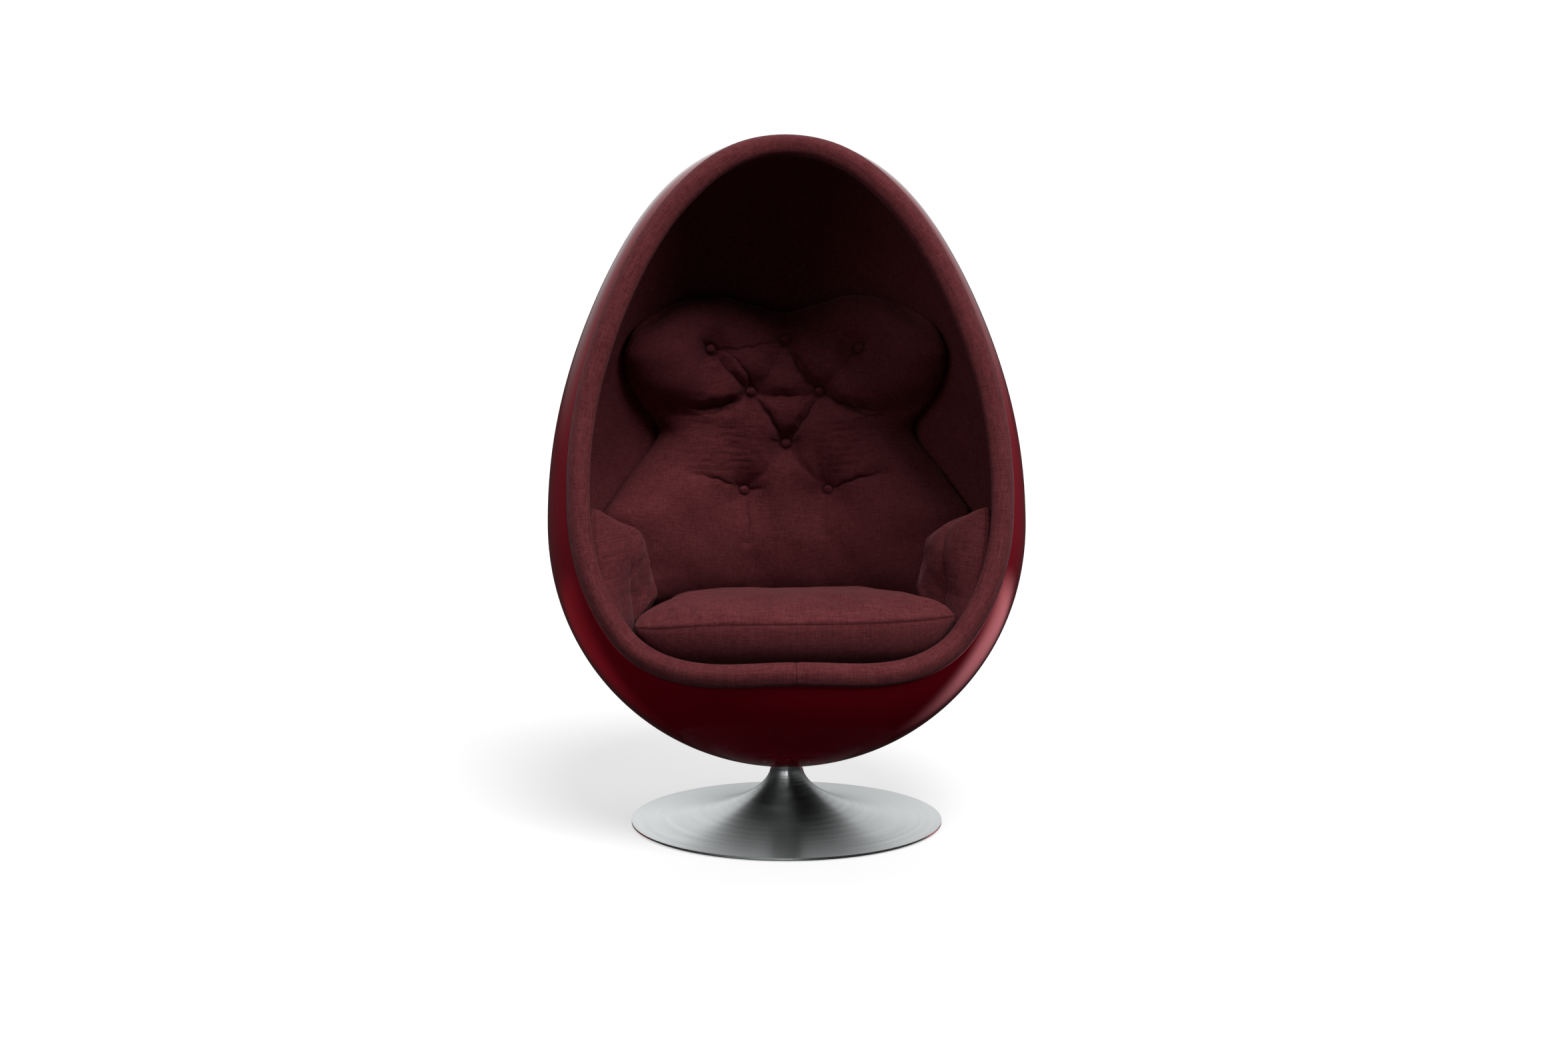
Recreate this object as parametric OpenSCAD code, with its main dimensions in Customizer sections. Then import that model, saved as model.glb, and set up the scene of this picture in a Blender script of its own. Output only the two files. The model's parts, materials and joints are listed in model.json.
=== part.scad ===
// Pod chair: an upholstered egg-shaped shell that swivels on a trumpet pedestal.
// The front faces -Y and the swivel axis is the Z axis through the origin on the floor.

/* [Egg] */
// Radius of the egg at its widest circle
egg_radius = 449; // [430:1:465]
// Length of the egg's axis above the widest circle
egg_upper = 732.5; // [700:1:760]
// Length of the egg's axis below the widest circle
egg_lower = 459; // [440:1:480]
// Backward lean of the egg's axis in degrees
egg_lean = 12; // [9:1:14]
// Fullness exponent of the upper part
upper_fullness = 2.4; // [2.2:0.05:2.6]
// Fullness exponent of the lower part
lower_fullness = 2.05; // [1.95:0.05:2.2]
// How far the upper flanks are drawn in, as a share of the radius
flank_draw_share = 0.074; // [0.05:0.005:0.1]

/* [Opening] */
// Backward lean of the opening's straight flank in degrees
opening_lean = 17; // [15:1:19]
// Radius of the arc at the front lip, seen from the side
lip_arc_radius = 90; // [80:1:100]
// Height of the lip arc's centre above the shell's lowest point
lip_arc_rise = 306; // [290:1:320]
// Distance of the lip arc's centre behind the egg's foremost reach
lip_arc_inset = 97; // [90:1:105]
// Radius of the arc by which the opening curls back at the top
curl_radius = 200; // [160:5:240]
// Height below the shell's top at which the curl starts
curl_drop = 110; // [90:5:130]

/* [Wall] */
// Thickness of the glass fibre shell
shell_wall = 5; // [4:0.5:7]
// Thickness of the padded lining
lining_wall = 27; // [20:1:32]
// How far the rim roll stands proud of the wall on either side
roll_proud = 4; // [2:0.5:6]
// How far the rim roll stands in front of the shell's edge
roll_depth = 30; // [24:1:36]
// Clearance between glued or upholstered layers
glue_gap = 0.3; // [0.2:0.05:0.5]
// Clearance between the back cushion and the lining, along the wall's normal
back_gap = 1.7; // [1.7:0.1:4]
// Clearance between an arm cushion and the lining, along the wall's normal
arm_gap = 2.4; // [2.4:0.1:4]
// Clearance between the moulded seat base and the lining
base_gap = 3.4; // [3.4:0.1:4]
// Clearance between the rim roll and the edges that it covers
roll_gap = 0.7; // [0.6:0.1:1]

/* [Cushions] */
// Height of the moulded seat base's flat top above the shell's lowest point
seat_base_rise = 228; // [220:1:232]
// Thickness of the seat cushion from its underside to its seam
seat_skirt = 93; // [80:1:100]
// Crown of the seat cushion above its seam
seat_crown = 54; // [45:1:60]
// Fall of the seat cushion's seam from the front to the rear
seat_fall = 75; // [60:1:80]
// How far the rear seam bows back between its corners
seat_bow = 45; // [0:1:50]
// Room at each side between the seat cushion's front corners and the lining's widest circle
seat_corner_room = 122.7; // [117:1:145]
// Clearance at each side between the seat cushion and the arm cushions' greatest thickness
seat_arm_room = 32.7; // [27:1:45]
// Room in front between the seat cushion's front seam and the lining's widest circle
seat_front_room = 81.7; // [77:1:96]
// Room behind the seat cushion's rear seam, to the lining's widest circle
seat_rear_room = 188.7; // [177:1:216]
// Largest thickness of the back cushion
back_thickness = 128; // [110:1:140]
// Room at each side between the back cushion's head lobes and the lining's widest circle
back_side_room = 104.7; // [97:1:126]
// Length of the back cushion measured along the egg's axis
back_length = 650; // [620:1:670]
// Distance of the back cushion's lower end below the widest circle
back_start = 150; // [140:1:165]
// Turn of the back cushion about the egg's axis as it lies, in degrees
back_turn_angle = 2.3; // [0:0.1:3]
// Depth of the back cushion's button tufts
tuft_depth = 34; // [28:1:45]
// Radius over which a tuft draws the cushion in
tuft_radius = 40; // [36:1:50]
// Depth of the sewn folds between the tufts
fold_depth = 13; // [6:1:18]
// Half width of a fold
fold_width = 22; // [18:1:28]
// Largest thickness of an arm cushion
arm_thickness = 146; // [120:1:150]
// Height of an arm cushion's top edge above the widest circle, along the egg's axis
arm_rise = 12; // [6:1:14]
// Depth of the arm cushions' lower edge at the shell below the seat cushion's underside
arm_sink = 8; // [0:1:9]
// Clearance between the arm cushions' inner faces and the seat cushion's sides
arm_side_gap = 6; // [4:0.5:10]
// Angle about the egg's axis at which an arm cushion starts, from the back
arm_start_angle = 66; // [65:1:68]
// Angle about the egg's axis that an arm cushion covers
arm_sweep_angle = 51; // [46:1:52]
// Depth of an arm cushion's button tuft
arm_tuft = 14; // [6:1:20]
// Diameter of a covered button
button_diameter = 21; // [18:0.5:26]
// Thickness of a covered button at its middle
button_height = 7; // [5:0.5:9]

/* [Pedestal] */
// Radius of the trumpet base
base_radius = 296.5; // [280:1:310]
// Height of the trumpet's neck above the floor
neck_height = 105; // [98:1:115]
// Radius of the trumpet's neck
neck_radius = 31; // [30:0.5:34]
// Superellipse exponent of the trumpet's curve
trumpet_fullness = 0.59; // [0.55:0.01:0.65]
// Wall of the spun aluminium trumpet
trumpet_wall = 2.5; // [2:0.1:2.8]
// Height of the trumpet's thin rim above the floor pad
trumpet_rim = 3.5; // [3.2:0.1:5]
// Width of the flat underside of the trumpet's rim
rim_land = 12; // [8:1:16]
// Thickness of the rubber floor pad
pad_thickness = 3; // [2:0.5:4]
// How far the floor pad is set in from the base's edge
pad_inset = 6; // [3:0.5:9]
// How far the steel ballast plate is set in from the base's edge
plate_room = 106.5; // [96.5:1:126.5]
// Thickness of the steel ballast plate
plate_thickness = 8; // [6:0.5:9]
// How far the upper ballast weight is set in from the base's edge
weight_room = 166.5; // [156.5:1:181.5]
// Thickness of the upper ballast weight
weight_thickness = 10; // [8:0.5:12]

/* [Swivel] */
// Radius of the column tube
column_radius = 26; // [25:0.5:26.5]
// Wall of the column tube
column_wall = 7; // [5:0.5:8]
// Radius of the column's foot flange
foot_radius = 70; // [62:1:80]
// Thickness of the column's foot flange
foot_thickness = 8; // [6:0.5:10]
// Radius of the swivel spindle
spindle_radius = 15; // [13:0.5:16]
// Radial running clearance of the spindle in its bushes
running_gap = 0.05; // [0.02:0.01:0.1]
// Length of the lower bush
lower_bush_length = 18; // [12:1:20]
// Length of the upper bush below its flange
upper_bush_length = 20; // [14:1:24]
// Thickness of the upper bush's flange
bush_flange = 2; // [1.5:0.25:3]
// Thickness of a thrust bearing race
race_thickness = 1.8; // [1.4:0.1:2]
// Radius of a thrust bearing ball
ball_radius = 1.95; // [1.8:0.05:2.1]
// Number of thrust bearing balls
ball_count = 18; // [12:1:24]
// Free play of the balls between their races
ball_play = 0.1; // [0.05:0.01:0.15]
// Radius of the shiny collar under the shell
collar_radius = 30; // [29:0.5:30.5]
// Height of the collar
collar_height = 13.5; // [12:0.5:16]
// Running gap between the trumpet's neck and the collar
neck_gap = 0.3; // [0.2:0.05:0.5]
// Depth of the flat on which the shell sits on the collar
spot_depth = 1.5; // [1:0.1:2]
// Thickness of the retaining clip
clip_thickness = 1.5; // [1.2:0.1:2]
// Thickness of the retaining washer
retainer_thickness = 2; // [1.5:0.1:3]

/* [Pod mounting] */
// Radius of the moulded boss inside the shell
boss_radius = 62; // [58:1:64]
// Height of the boss's top above the shell's inner surface at the boss's edge
boss_stand = 6.4; // [4.5:0.1:7.5]
// Thickness of the steel clamp plate
clamp_thickness = 6; // [4:0.5:6]
// Radius of a pod bolt's shank
bolt_radius = 4; // [3:0.5:4]
// Radius of the circle on which the pod bolts stand
bolt_circle = 22; // [21:0.5:23]
// Depth to which the pod bolts enter the hub
bolt_entry = 9; // [7:0.5:10]
// Radial clearance of bolts and screws in plain holes
hole_gap = 0.4; // [0.3:0.1:0.6]
// Radius of a column screw
screw_radius = 4; // [3:0.5:4.5]
// Radius of the circle on which the column screws stand
screw_circle = 50; // [46:1:54]

/* [Hidden] */

// One overrun serves every cut
over = 1;
// Segments of turned parts
fine = 72;
// Rings round the opening and rows towards the back of the shell's mesh
rim_count = 56;
row_count = 16;
// Halvings in each numeric search
halvings = 24;
slope_step = 0.5;

// Colours as photographed
wine_gloss = [0.42, 0.03, 0.09];
wine_cloth = [0.38, 0.19, 0.2];
satin_metal = [0.72, 0.73, 0.74];
bright_metal = [0.9, 0.9, 0.92];
dark_metal = [0.35, 0.36, 0.38];
zinc_metal = [0.62, 0.63, 0.6];
bronze_metal = [0.65, 0.5, 0.3];
white_nylon = [0.9, 0.9, 0.86];
black_rubber = [0.1, 0.1, 0.1];
raw_foam = [0.3, 0.26, 0.25];

// Heights of the pedestal's stack
plate_z = pad_thickness;
weight_z = plate_z + plate_thickness;
foot_z = weight_z + weight_thickness;
collar_z = neck_height + neck_gap;
race_upper_z = collar_z - race_thickness;
ball_z = race_upper_z - ball_play / 2 - ball_radius;
race_lower_z = race_upper_z - ball_play - 2 * ball_radius - race_thickness;
column_top = race_lower_z - bush_flange;
hub_top = collar_z + collar_height;
shell_low = hub_top - spot_depth;
bore_radius = column_radius - column_wall;

// The egg: squared radius at a distance s along its axis
function egg_square(s) =
    let (t = abs(s) / (s >= 0 ? egg_upper : egg_lower))
    egg_radius * egg_radius * (1 - pow(t, s >= 0 ? upper_fullness : lower_fullness))
    * (s >= 0 ? pow(1 - flank_draw_share * 4 * t * t * (1 - t * t), 2) : 1);
function egg_round(s) = sqrt(max(0, egg_square(s)));

// Height of the widest circle's centre, from the leaning egg's lowest point
scan_count = 400;
egg_drop = max([for (i = [0 : scan_count]) let (s = -egg_lower * i / scan_count)
    egg_round(s) * sin(egg_lean) - s * cos(egg_lean)]);
egg_climb = max([for (i = [0 : scan_count]) let (s = egg_upper * i / scan_count)
    egg_round(s) * sin(egg_lean) + s * cos(egg_lean)]);
egg_z = shell_low + egg_drop;
egg_top = egg_z + egg_climb;

// Between the row's frame and the leaning egg's own frame
function to_egg(p) = [p[0], p[1] * cos(egg_lean) - (p[2] - egg_z) * sin(egg_lean),
    p[1] * sin(egg_lean) + (p[2] - egg_z) * cos(egg_lean)];
function lean_back(e) = [e[0], e[1] * cos(egg_lean) + e[2] * sin(egg_lean),
    e[2] * cos(egg_lean) - e[1] * sin(egg_lean)];
function to_row(e) = lean_back(e) + [0, 0, egg_z];
function unit(v) = v / norm(v);
function egg_normal(e) = unit([e[0], e[1],
    (egg_square(e[2] - slope_step) - egg_square(e[2] + slope_step)) / (4 * slope_step)]);
function outside(e) = e[0] * e[0] + e[1] * e[1] > egg_square(e[2]);

// A point of the wall: angle az about the egg's axis from the back, distance s along it,
// and depth inwards from the shell's outer surface
function wall_at(az, s, depth) =
    let (e = [egg_round(s) * sin(az), egg_round(s) * cos(az), s])
    to_row(e - egg_normal(e) * depth);
function wall_normal(az, s) =
    lean_back(egg_normal([egg_round(s) * sin(az), egg_round(s) * cos(az), s]));

// Where a ray from an inner point meets the egg
function ray_span(start, way, low, high, n) =
    let (mid = (low + high) / 2)
    n == 0 ? start + way * mid
    : outside(to_egg(start + way * mid)) ? ray_span(start, way, low, mid, n - 1)
    : ray_span(start, way, mid, high, n - 1);
function on_egg(start, way) = ray_span(start, way, 0, 2 * (egg_upper + egg_lower), halvings);

// The opening, as a curve seen from the side: a lip arc, a straight flank and a curl at the top
lip_y = lip_arc_inset - egg_radius;
lip_z = shell_low + lip_arc_rise;
lip_flat_share = 0.8;
lip_join_y = lip_y + lip_arc_radius * cos(opening_lean);
lip_join_z = lip_z - lip_arc_radius * sin(opening_lean);
curl_z = egg_top - curl_drop;
curl_y = lip_join_y + (curl_z - lip_join_z) * tan(opening_lean);
curl_end_angle = 55;
curl_mid = [curl_y + curl_radius * cos(opening_lean), curl_z - curl_radius * sin(opening_lean)];
function lip_floor(y) = lip_z - sqrt(pow(lip_arc_radius, 2)
    - pow(min(abs(y - lip_y), lip_flat_share * lip_arc_radius), 2));
function past_curl(v) = curl_radius < (atan2(v[1], -v[0]) < curl_end_angle ? norm(v)
    : v[1] * sin(curl_end_angle) - v[0] * cos(curl_end_angle));
function is_open(y, z) =
    z > curl_z ? past_curl([y, z] - curl_mid)
    : z > lip_join_z ? y < lip_join_y + (z - lip_join_z) * tan(opening_lean)
    : y < lip_y ? z > lip_floor(y)
    : norm([y - lip_y, z - lip_z]) < lip_arc_radius;

// The shell's mesh: rays from a point in the egg, turn round the +Y axis, swing away from it
focus_shares = [0.11, 0.1];
focus = [0, focus_shares[0] * egg_radius, egg_z + focus_shares[1] * egg_radius];
function ray_way(swing, turn) = [sin(swing) * sin(turn), cos(swing), sin(swing) * cos(turn)];
function edge_swing(turn, low, high, n) =
    let (mid = (low + high) / 2, p = on_egg(focus, ray_way(mid, turn)))
    n == 0 ? mid
    : is_open(p[1], p[2]) ? edge_swing(turn, low, mid, n - 1)
    : edge_swing(turn, mid, high, n - 1);
turns = [for (i = [0 : rim_count - 1]) 360 * i / rim_count];
swing_angles = [30, 179];
edge_swings = [for (turn = turns) edge_swing(turn, swing_angles[0], swing_angles[1], halvings)];
skin = [for (j = [0 : row_count]) [for (i = [0 : rim_count - 1])
    on_egg(focus, ray_way(edge_swings[i] * j / row_count, turns[i]))]];
skin_normals = [for (row = skin) [for (p = row) lean_back(egg_normal(to_egg(p)))]];
function sunk(depth) = concat([skin[0][0] - skin_normals[0][0] * depth],
    [for (j = [1 : row_count]) for (i = [0 : rim_count - 1]) skin[j][i] - skin_normals[j][i] * depth]);

// Faces of a bowl mesh with one point at its pole, and of the strip that joins two bowls. The
// quads are cut along mirrored diagonals on the left and the right.
function quad(a, b, c, d, left) = left ? [[a, b, d], [b, c, d]] : [[a, b, c], [a, c, d]];
function is_left(i) = 2 * i >= rim_count;
function bowl_faces(first, flip) = [
    for (i = [0 : rim_count - 1]) let (k = (i + 1) % rim_count)
        flip ? [first, first + 1 + i, first + 1 + k] : [first, first + 1 + k, first + 1 + i],
    for (j = [0 : row_count - 2]) for (i = [0 : rim_count - 1])
        let (k = (i + 1) % rim_count, a = first + 1 + j * rim_count + i, b = first + 1 + j * rim_count + k,
            c = b + rim_count, d = a + rim_count)
        for (f = flip ? quad(b, a, d, c, !is_left(i)) : quad(a, b, c, d, is_left(i))) f];
function edge_faces(first, second) = [
    for (i = [0 : rim_count - 1]) let (k = (i + 1) % rim_count, last = 1 + (row_count - 1) * rim_count)
        for (f = quad(first + last + i, first + last + k, second + last + k, second + last + i, is_left(i)))
            f];

module wall_layer(outer_depth, inner_depth) {
    count = 1 + row_count * rim_count;
    polyhedron(concat(sunk(outer_depth), sunk(inner_depth)),
        concat(bowl_faces(0, false), bowl_faces(count, true), edge_faces(0, count)));
}

// Points crowd towards a pillow's edges by this share
edge_share = 0.3;

// A pillow: two grids of points joined along a welded seam. The function at(u, v, side) gives
// a point for u and v from -1 to 1, and side 1 is the face and 0 the back.
module pillow(columns, rows, at) {
    function spread(i, n) = let (t = 2 * i / n - 1) edge_share * sin(90 * t) + (1 - edge_share) * t;
    inner_start = (columns + 1) * (rows + 1);
    function is_seam(i, j) = i == 0 || j == 0 || i == columns || j == rows;
    function index(side, i, j) = side == 1 || is_seam(i, j) ? j * (columns + 1) + i
        : inner_start + (j - 1) * (columns - 1) + i - 1;
    points = concat(
        [for (j = [0 : rows]) for (i = [0 : columns]) at(spread(i, columns), spread(j, rows), 1)],
        [for (j = [1 : rows - 1]) for (i = [1 : columns - 1]) at(spread(i, columns), spread(j, rows), 0)]);
    faces = [for (side = [0, 1]) for (j = [0 : rows - 1]) for (i = [0 : columns - 1])
        let (a = index(side, i, j), b = index(side, i + 1, j), c = index(side, i + 1, j + 1),
            d = index(side, i, j + 1), crossed = (2 * i < columns) != (2 * j < rows))
        for (f = side == 1 ? quad(b, a, d, c, !crossed) : quad(a, b, c, d, crossed)) f];
    polyhedron(points, faces);
}
function crown(u, v, fullness) = sqrt((1 - pow(abs(u), fullness[0])) * (1 - pow(abs(v), fullness[1])));

// Depth of the lining's inner surface, and of a cushion's seam in front of the cushion's back
wall_depth = shell_wall + glue_gap + lining_wall;
lining_radius = egg_radius - wall_depth;
seam_depth = 16;
// Fullness exponents of the cushions' backs and faces, sideways and upwards
flat_fullness = [10, 10];
back_fullness = [4, 3.2];
arm_top_fullness = [4, 7];
arm_foot_fullness = [4, 12];
seat_fullness = [4, 3];

// The back cushion's outline: half width as shares of the lobes' against the share of the height
back_outline_shares = [[0, 0.94], [0.15, 1.08], [0.31, 1.16], [0.46, 1], [0.575, 0.85], [0.63, 0.8],
    [0.67, 0.84], [0.72, 0.93], [0.78, 0.985], [0.86, 1], [0.95, 0.93], [1, 0.8]];
// Its top edge dips between the lobes: height shares of the length, from the middle to a side
back_top_shares = [[0, 0.955], [0.2, 0.98], [0.42, 1.005], [0.7, 0.98], [0.9, 0.935], [1, 0.908]];
back_depth = wall_depth + back_gap + back_thickness / 2;
back_half_width = lining_radius - back_side_room;
function back_rise(u) = back_length * lookup(abs(u), back_top_shares);
function back_s(u, w) = back_rise(u) * w - back_start;
function half_az(s, w) = asin(min(1, back_half_width * lookup(w, back_outline_shares)
    / (egg_round(s) - wall_depth - seam_depth)));

// Buttons: sideways place as shares of the half width, height as shares of the length
back_button_shares = [[-0.48, 0.858], [0, 0.892], [0.48, 0.858], [-0.236, 0.732], [0.236, 0.732],
    [0, 0.558], [-0.296, 0.392], [0.296, 0.392]];
back_fold_pairs = [[0, 1], [0, 3], [1, 3], [1, 4], [2, 4], [3, 4], [3, 5], [4, 5], [5, 6], [5, 7]];
button_spots = [for (q = back_button_shares) [q[0] * back_half_width, q[1] * back_length - back_start]];
function spot_az(spot) = asin(spot[0] / (egg_round(spot[1]) - back_depth));
function spot_w(spot, u) = (spot[1] + back_start) / back_rise(u);
function spot_u(spot, u, n) = n == 0 ? u
    : spot_u(spot, spot_az(spot) / half_az(spot[1], spot_w(spot, u)), n - 1);
function to_line(p, a, b) = let (t = max(0, min(1, (p - a) * (b - a) / ((b - a) * (b - a)))))
    norm(p - a - (b - a) * t);
function bell(x) = exp(-x * x);
function drawn_in(p) = max(concat(
    [for (q = button_spots) tuft_depth * bell(norm(p - q) / tuft_radius)],
    [for (pair = back_fold_pairs)
        fold_depth * bell(to_line(p, button_spots[pair[0]], button_spots[pair[1]]) / fold_width)]));
function back_swell(u, w) =
    let (s = back_s(u, w), az = u * half_az(s, w), p = [(egg_round(s) - back_depth) * sin(az), s],
        c = crown(u, 2 * w - 1, back_fullness))
    seam_depth + (back_thickness - seam_depth - drawn_in(p)) * c;
function back_point(u, v, side) = let (w = (v + 1) / 2, s = back_s(u, w))
    wall_at(back_turn_angle + u * half_az(s, w), s, wall_depth + back_gap
    + (side == 1 ? back_swell(u, w) : seam_depth * (1 - crown(u, v, flat_fullness))));

seat_low = shell_low + seat_base_rise + glue_gap;
seat_half_width = lining_radius - seat_corner_room;
seat_waist = lining_radius - arm_thickness - seat_arm_room;

// Arm cushions: the left one lies at negative x. The button's place is from -1 to 1 each way.
arm_button_shares = [-0.1, 0.1];
arm_tuft_share = 0.3;
function arm_az(u) = arm_start_angle + arm_sweep_angle * (u + 1) / 2;
// The lower edge is level, so its distance along the axis depends on the angle
arm_floor = seat_low - arm_sink;
function arm_low(az, s, n) = n == 0 ? s
    : arm_low(az, (arm_floor - egg_z + egg_round(s) * cos(az) * sin(egg_lean)) / cos(egg_lean), n - 1);
function arm_s(u, v) = let (low = arm_low(arm_az(u), 0, 6)) arm_rise - (arm_rise - low) * (1 - v) / 2;
// Low down in front the inner face flares to pass the seat cushion's corner
flare_share = 0.35;
flare_start = 60;
flare_top = 80;
flare_height = 100;
function arm_side(p, s) = seat_waist + arm_side_gap
    + flare_share * max(0, -p[1] - flare_start) * max(0, min(1, (-s - flare_top) / flare_height));
function arm_room(az, s) = let (p = wall_at(az, s, wall_depth + arm_gap))
    (p[0] - arm_side(p, s)) / wall_normal(az, s)[0];
function arm_swell(u, v) =
    let (s = arm_s(u, v), thickness = min(arm_thickness, arm_room(arm_az(u), s)))
    seam_depth + (thickness - seam_depth) * crown(u, v, v < 0 ? arm_foot_fullness : arm_top_fullness)
    - arm_tuft * bell(norm([u, v] - arm_button_shares) / arm_tuft_share);
function arm_point(u, v, side) = wall_at(arm_az(u), arm_s(u, v), wall_depth + arm_gap
    + (side == 1 ? arm_swell(u, v) : seam_depth * (1 - crown(u, v, flat_fullness))));

// The seat cushion: front corners are drawn back from the front seam, sides narrow between the arms
seat_corner_share = 0.24;
seat_outline_shares = [[0, 0.96], [0.1, 1], [0.2, 0.85], [0.32, 0.35], [0.42, 0.05], [0.6, 0], [0.8, -0.15],
    [1, -0.6]];
seat_reach = lining_radius - seat_front_room;
seat_rear = lining_radius - seat_rear_room;
function seat_y(u, v) = -seat_reach + (seat_reach + seat_rear) * (v + 1) / 2
    + seat_corner_share * seat_reach * pow(abs(u), 3) * (1 - v) / 2
    + seat_bow * (1 - u * u) * pow((v + 1) / 2, 2);
function seat_x(u, v) = u * (seat_waist
    + (seat_half_width - seat_waist) * lookup((v + 1) / 2, seat_outline_shares));
function seat_seam(v) = seat_skirt - seat_fall * (v + 1) / 2;
function seat_point(u, v, side) = [seat_x(u, v), seat_y(u, v), seat_low + (side == 1
    ? seat_seam(v) + seat_crown * crown(u, v, seat_fullness)
    : seat_seam(v) * (1 - crown(u, v, flat_fullness)))];

// Turned section of the trumpet base
trumpet_count = 26;
trumpet_low = pad_thickness + trumpet_rim;
function trumpet_at(k) =
    let (a = 90 * k / trumpet_count)
    [neck_radius + (base_radius - neck_radius) * pow(sin(a), 2 / trumpet_fullness),
        trumpet_low + (neck_height - trumpet_low) * pow(cos(a), 2 / trumpet_fullness)];
function trumpet_side(k) =
    let (a = trumpet_at(max(0, k - 1)), b = trumpet_at(min(trumpet_count, k + 1)), way = unit(b - a))
    k == 0 ? [-1, 0] : k == trumpet_count ? [0, -1] : [way[1], -way[0]];
function trumpet_inside(k) = trumpet_at(k) + trumpet_side(k) * trumpet_wall;
trumpet_section = concat(
    [for (k = [0 : trumpet_count]) trumpet_at(k)],
    [[base_radius, pad_thickness], [base_radius - rim_land, pad_thickness],
        [base_radius - rim_land, trumpet_at(trumpet_count - 4)[1] - trumpet_wall]],
    [for (k = [trumpet_count - 5 : -1 : 0]) trumpet_inside(k)]);

module ring(outer, inner, height) {
    difference() {
        cylinder(r = outer, h = height, $fn = fine);
        translate([0, 0, -over]) cylinder(r = inner, h = height + 2 * over, $fn = fine);
    }
}

module round_place(radius, count) {
    for (k = [0 : count - 1]) rotate([0, 0, 360 * k / count]) translate([radius, 0, 0]) children();
}

module floor_pad() {
    color(black_rubber) cylinder(r = base_radius - pad_inset, h = pad_thickness, $fn = fine);
}

// Countersunk column screws enter from below
screw_count = 4;
screw_head = 2 * screw_radius;
screw_taper = screw_radius;
access_margin = 1;
access_radius = bore_radius + access_margin;
tap_gap = 0.05;

module screw_solid(gap) {
    cylinder(r1 = screw_head + gap, r2 = screw_radius + gap, h = screw_taper, $fn = fine);
    cylinder(r = screw_radius + gap, h = foot_z + foot_thickness - plate_z, $fn = fine);
}

plate_radius = base_radius - plate_room;
weight_radius = base_radius - weight_room;

module ballast_plate() {
    color(dark_metal) translate([0, 0, plate_z]) difference() {
        ring(plate_radius, access_radius, plate_thickness);
        round_place(screw_circle, screw_count) {
            translate([0, 0, -over]) cylinder(r = screw_radius + hole_gap, h = plate_thickness + 2 * over,
                $fn = fine);
            cylinder(r1 = screw_head + hole_gap, r2 = screw_radius + hole_gap, h = screw_taper, $fn = fine);
        }
    }
}

module ballast_weight() {
    color(dark_metal) translate([0, 0, weight_z]) difference() {
        ring(weight_radius, access_radius, weight_thickness);
        round_place(screw_circle, screw_count) translate([0, 0, -over])
            cylinder(r = screw_radius + hole_gap, h = weight_thickness + 2 * over, $fn = fine);
    }
}

module column_screws() {
    color(zinc_metal) translate([0, 0, plate_z]) round_place(screw_circle, screw_count) screw_solid(0);
}

module base_cover() {
    color(satin_metal) rotate_extrude($fn = 2 * fine) polygon(trumpet_section);
}

// Nylon ring that centres the trumpet on the column
spacer_drop = 8;
spacer_height = 10;
function trumpet_bore(z) = lookup(-z, [for (k = [0 : trumpet_count]) [-trumpet_inside(k)[1],
    trumpet_inside(k)[0]]]);

module neck_spacer() {
    top = column_top - spacer_drop;
    color(white_nylon) translate([0, 0, top - spacer_height])
        ring(trumpet_bore(top) - glue_gap, column_radius + tap_gap, spacer_height);
}

module column_tube() {
    color(dark_metal) difference() {
        union() {
            translate([0, 0, foot_z]) cylinder(r = column_radius, h = column_top - foot_z, $fn = fine);
            translate([0, 0, foot_z]) cylinder(r = foot_radius, h = foot_thickness, $fn = fine);
        }
        translate([0, 0, foot_z - over])
            cylinder(r = bore_radius, h = column_top - foot_z + 2 * over, $fn = fine);
        translate([0, 0, foot_z - over]) round_place(screw_circle, screw_count)
            cylinder(r = screw_radius + tap_gap, h = foot_thickness + 2 * over, $fn = fine);
    }
}

// The spindle's end, its clip and washer under the lower bush
spindle_drop = 4;
clip_groove = 1.2;
clip_rim = 2.5;
retainer_rim = 3.4;
clip_z = foot_z + foot_thickness + spindle_drop;
retainer_z = clip_z + clip_thickness;
lower_bush_z = retainer_z + retainer_thickness + neck_gap;

module lower_bush() {
    color(bronze_metal) translate([0, 0, lower_bush_z])
        ring(bore_radius - running_gap, spindle_radius + running_gap, lower_bush_length);
}

module upper_bush() {
    color(bronze_metal) {
        translate([0, 0, column_top - upper_bush_length])
            ring(bore_radius - running_gap, spindle_radius + running_gap, upper_bush_length);
        translate([0, 0, column_top])
            ring(race_outer, spindle_radius + running_gap, bush_flange);
    }
}

// The thrust bearing between column and collar
race_inner = spindle_radius + hole_gap;
race_inset = 1;
race_outer = column_radius - race_inset;
ball_circle = (race_inner + race_outer) / 2;
cage_rim = 1.2;
cage_thickness = 1.3;

module thrust_race_lower() {
    color(bright_metal) translate([0, 0, race_lower_z]) ring(race_outer, race_inner, race_thickness);
}

module bearing_balls() {
    color(bright_metal) translate([0, 0, ball_z]) round_place(ball_circle, ball_count)
        sphere(r = ball_radius, $fn = fine / 3);
}

module ball_cage() {
    color(bronze_metal) translate([0, 0, ball_z - cage_thickness / 2]) difference() {
        ring(ball_circle + ball_radius + cage_rim, ball_circle - ball_radius - cage_rim, cage_thickness);
        translate([0, 0, -over]) round_place(ball_circle, ball_count)
            cylinder(r = ball_radius + running_gap, h = cage_thickness + 2 * over, $fn = fine / 3);
    }
}

module thrust_race_upper() {
    color(bright_metal) translate([0, 0, race_upper_z]) ring(race_outer, race_inner, race_thickness);
}

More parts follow.
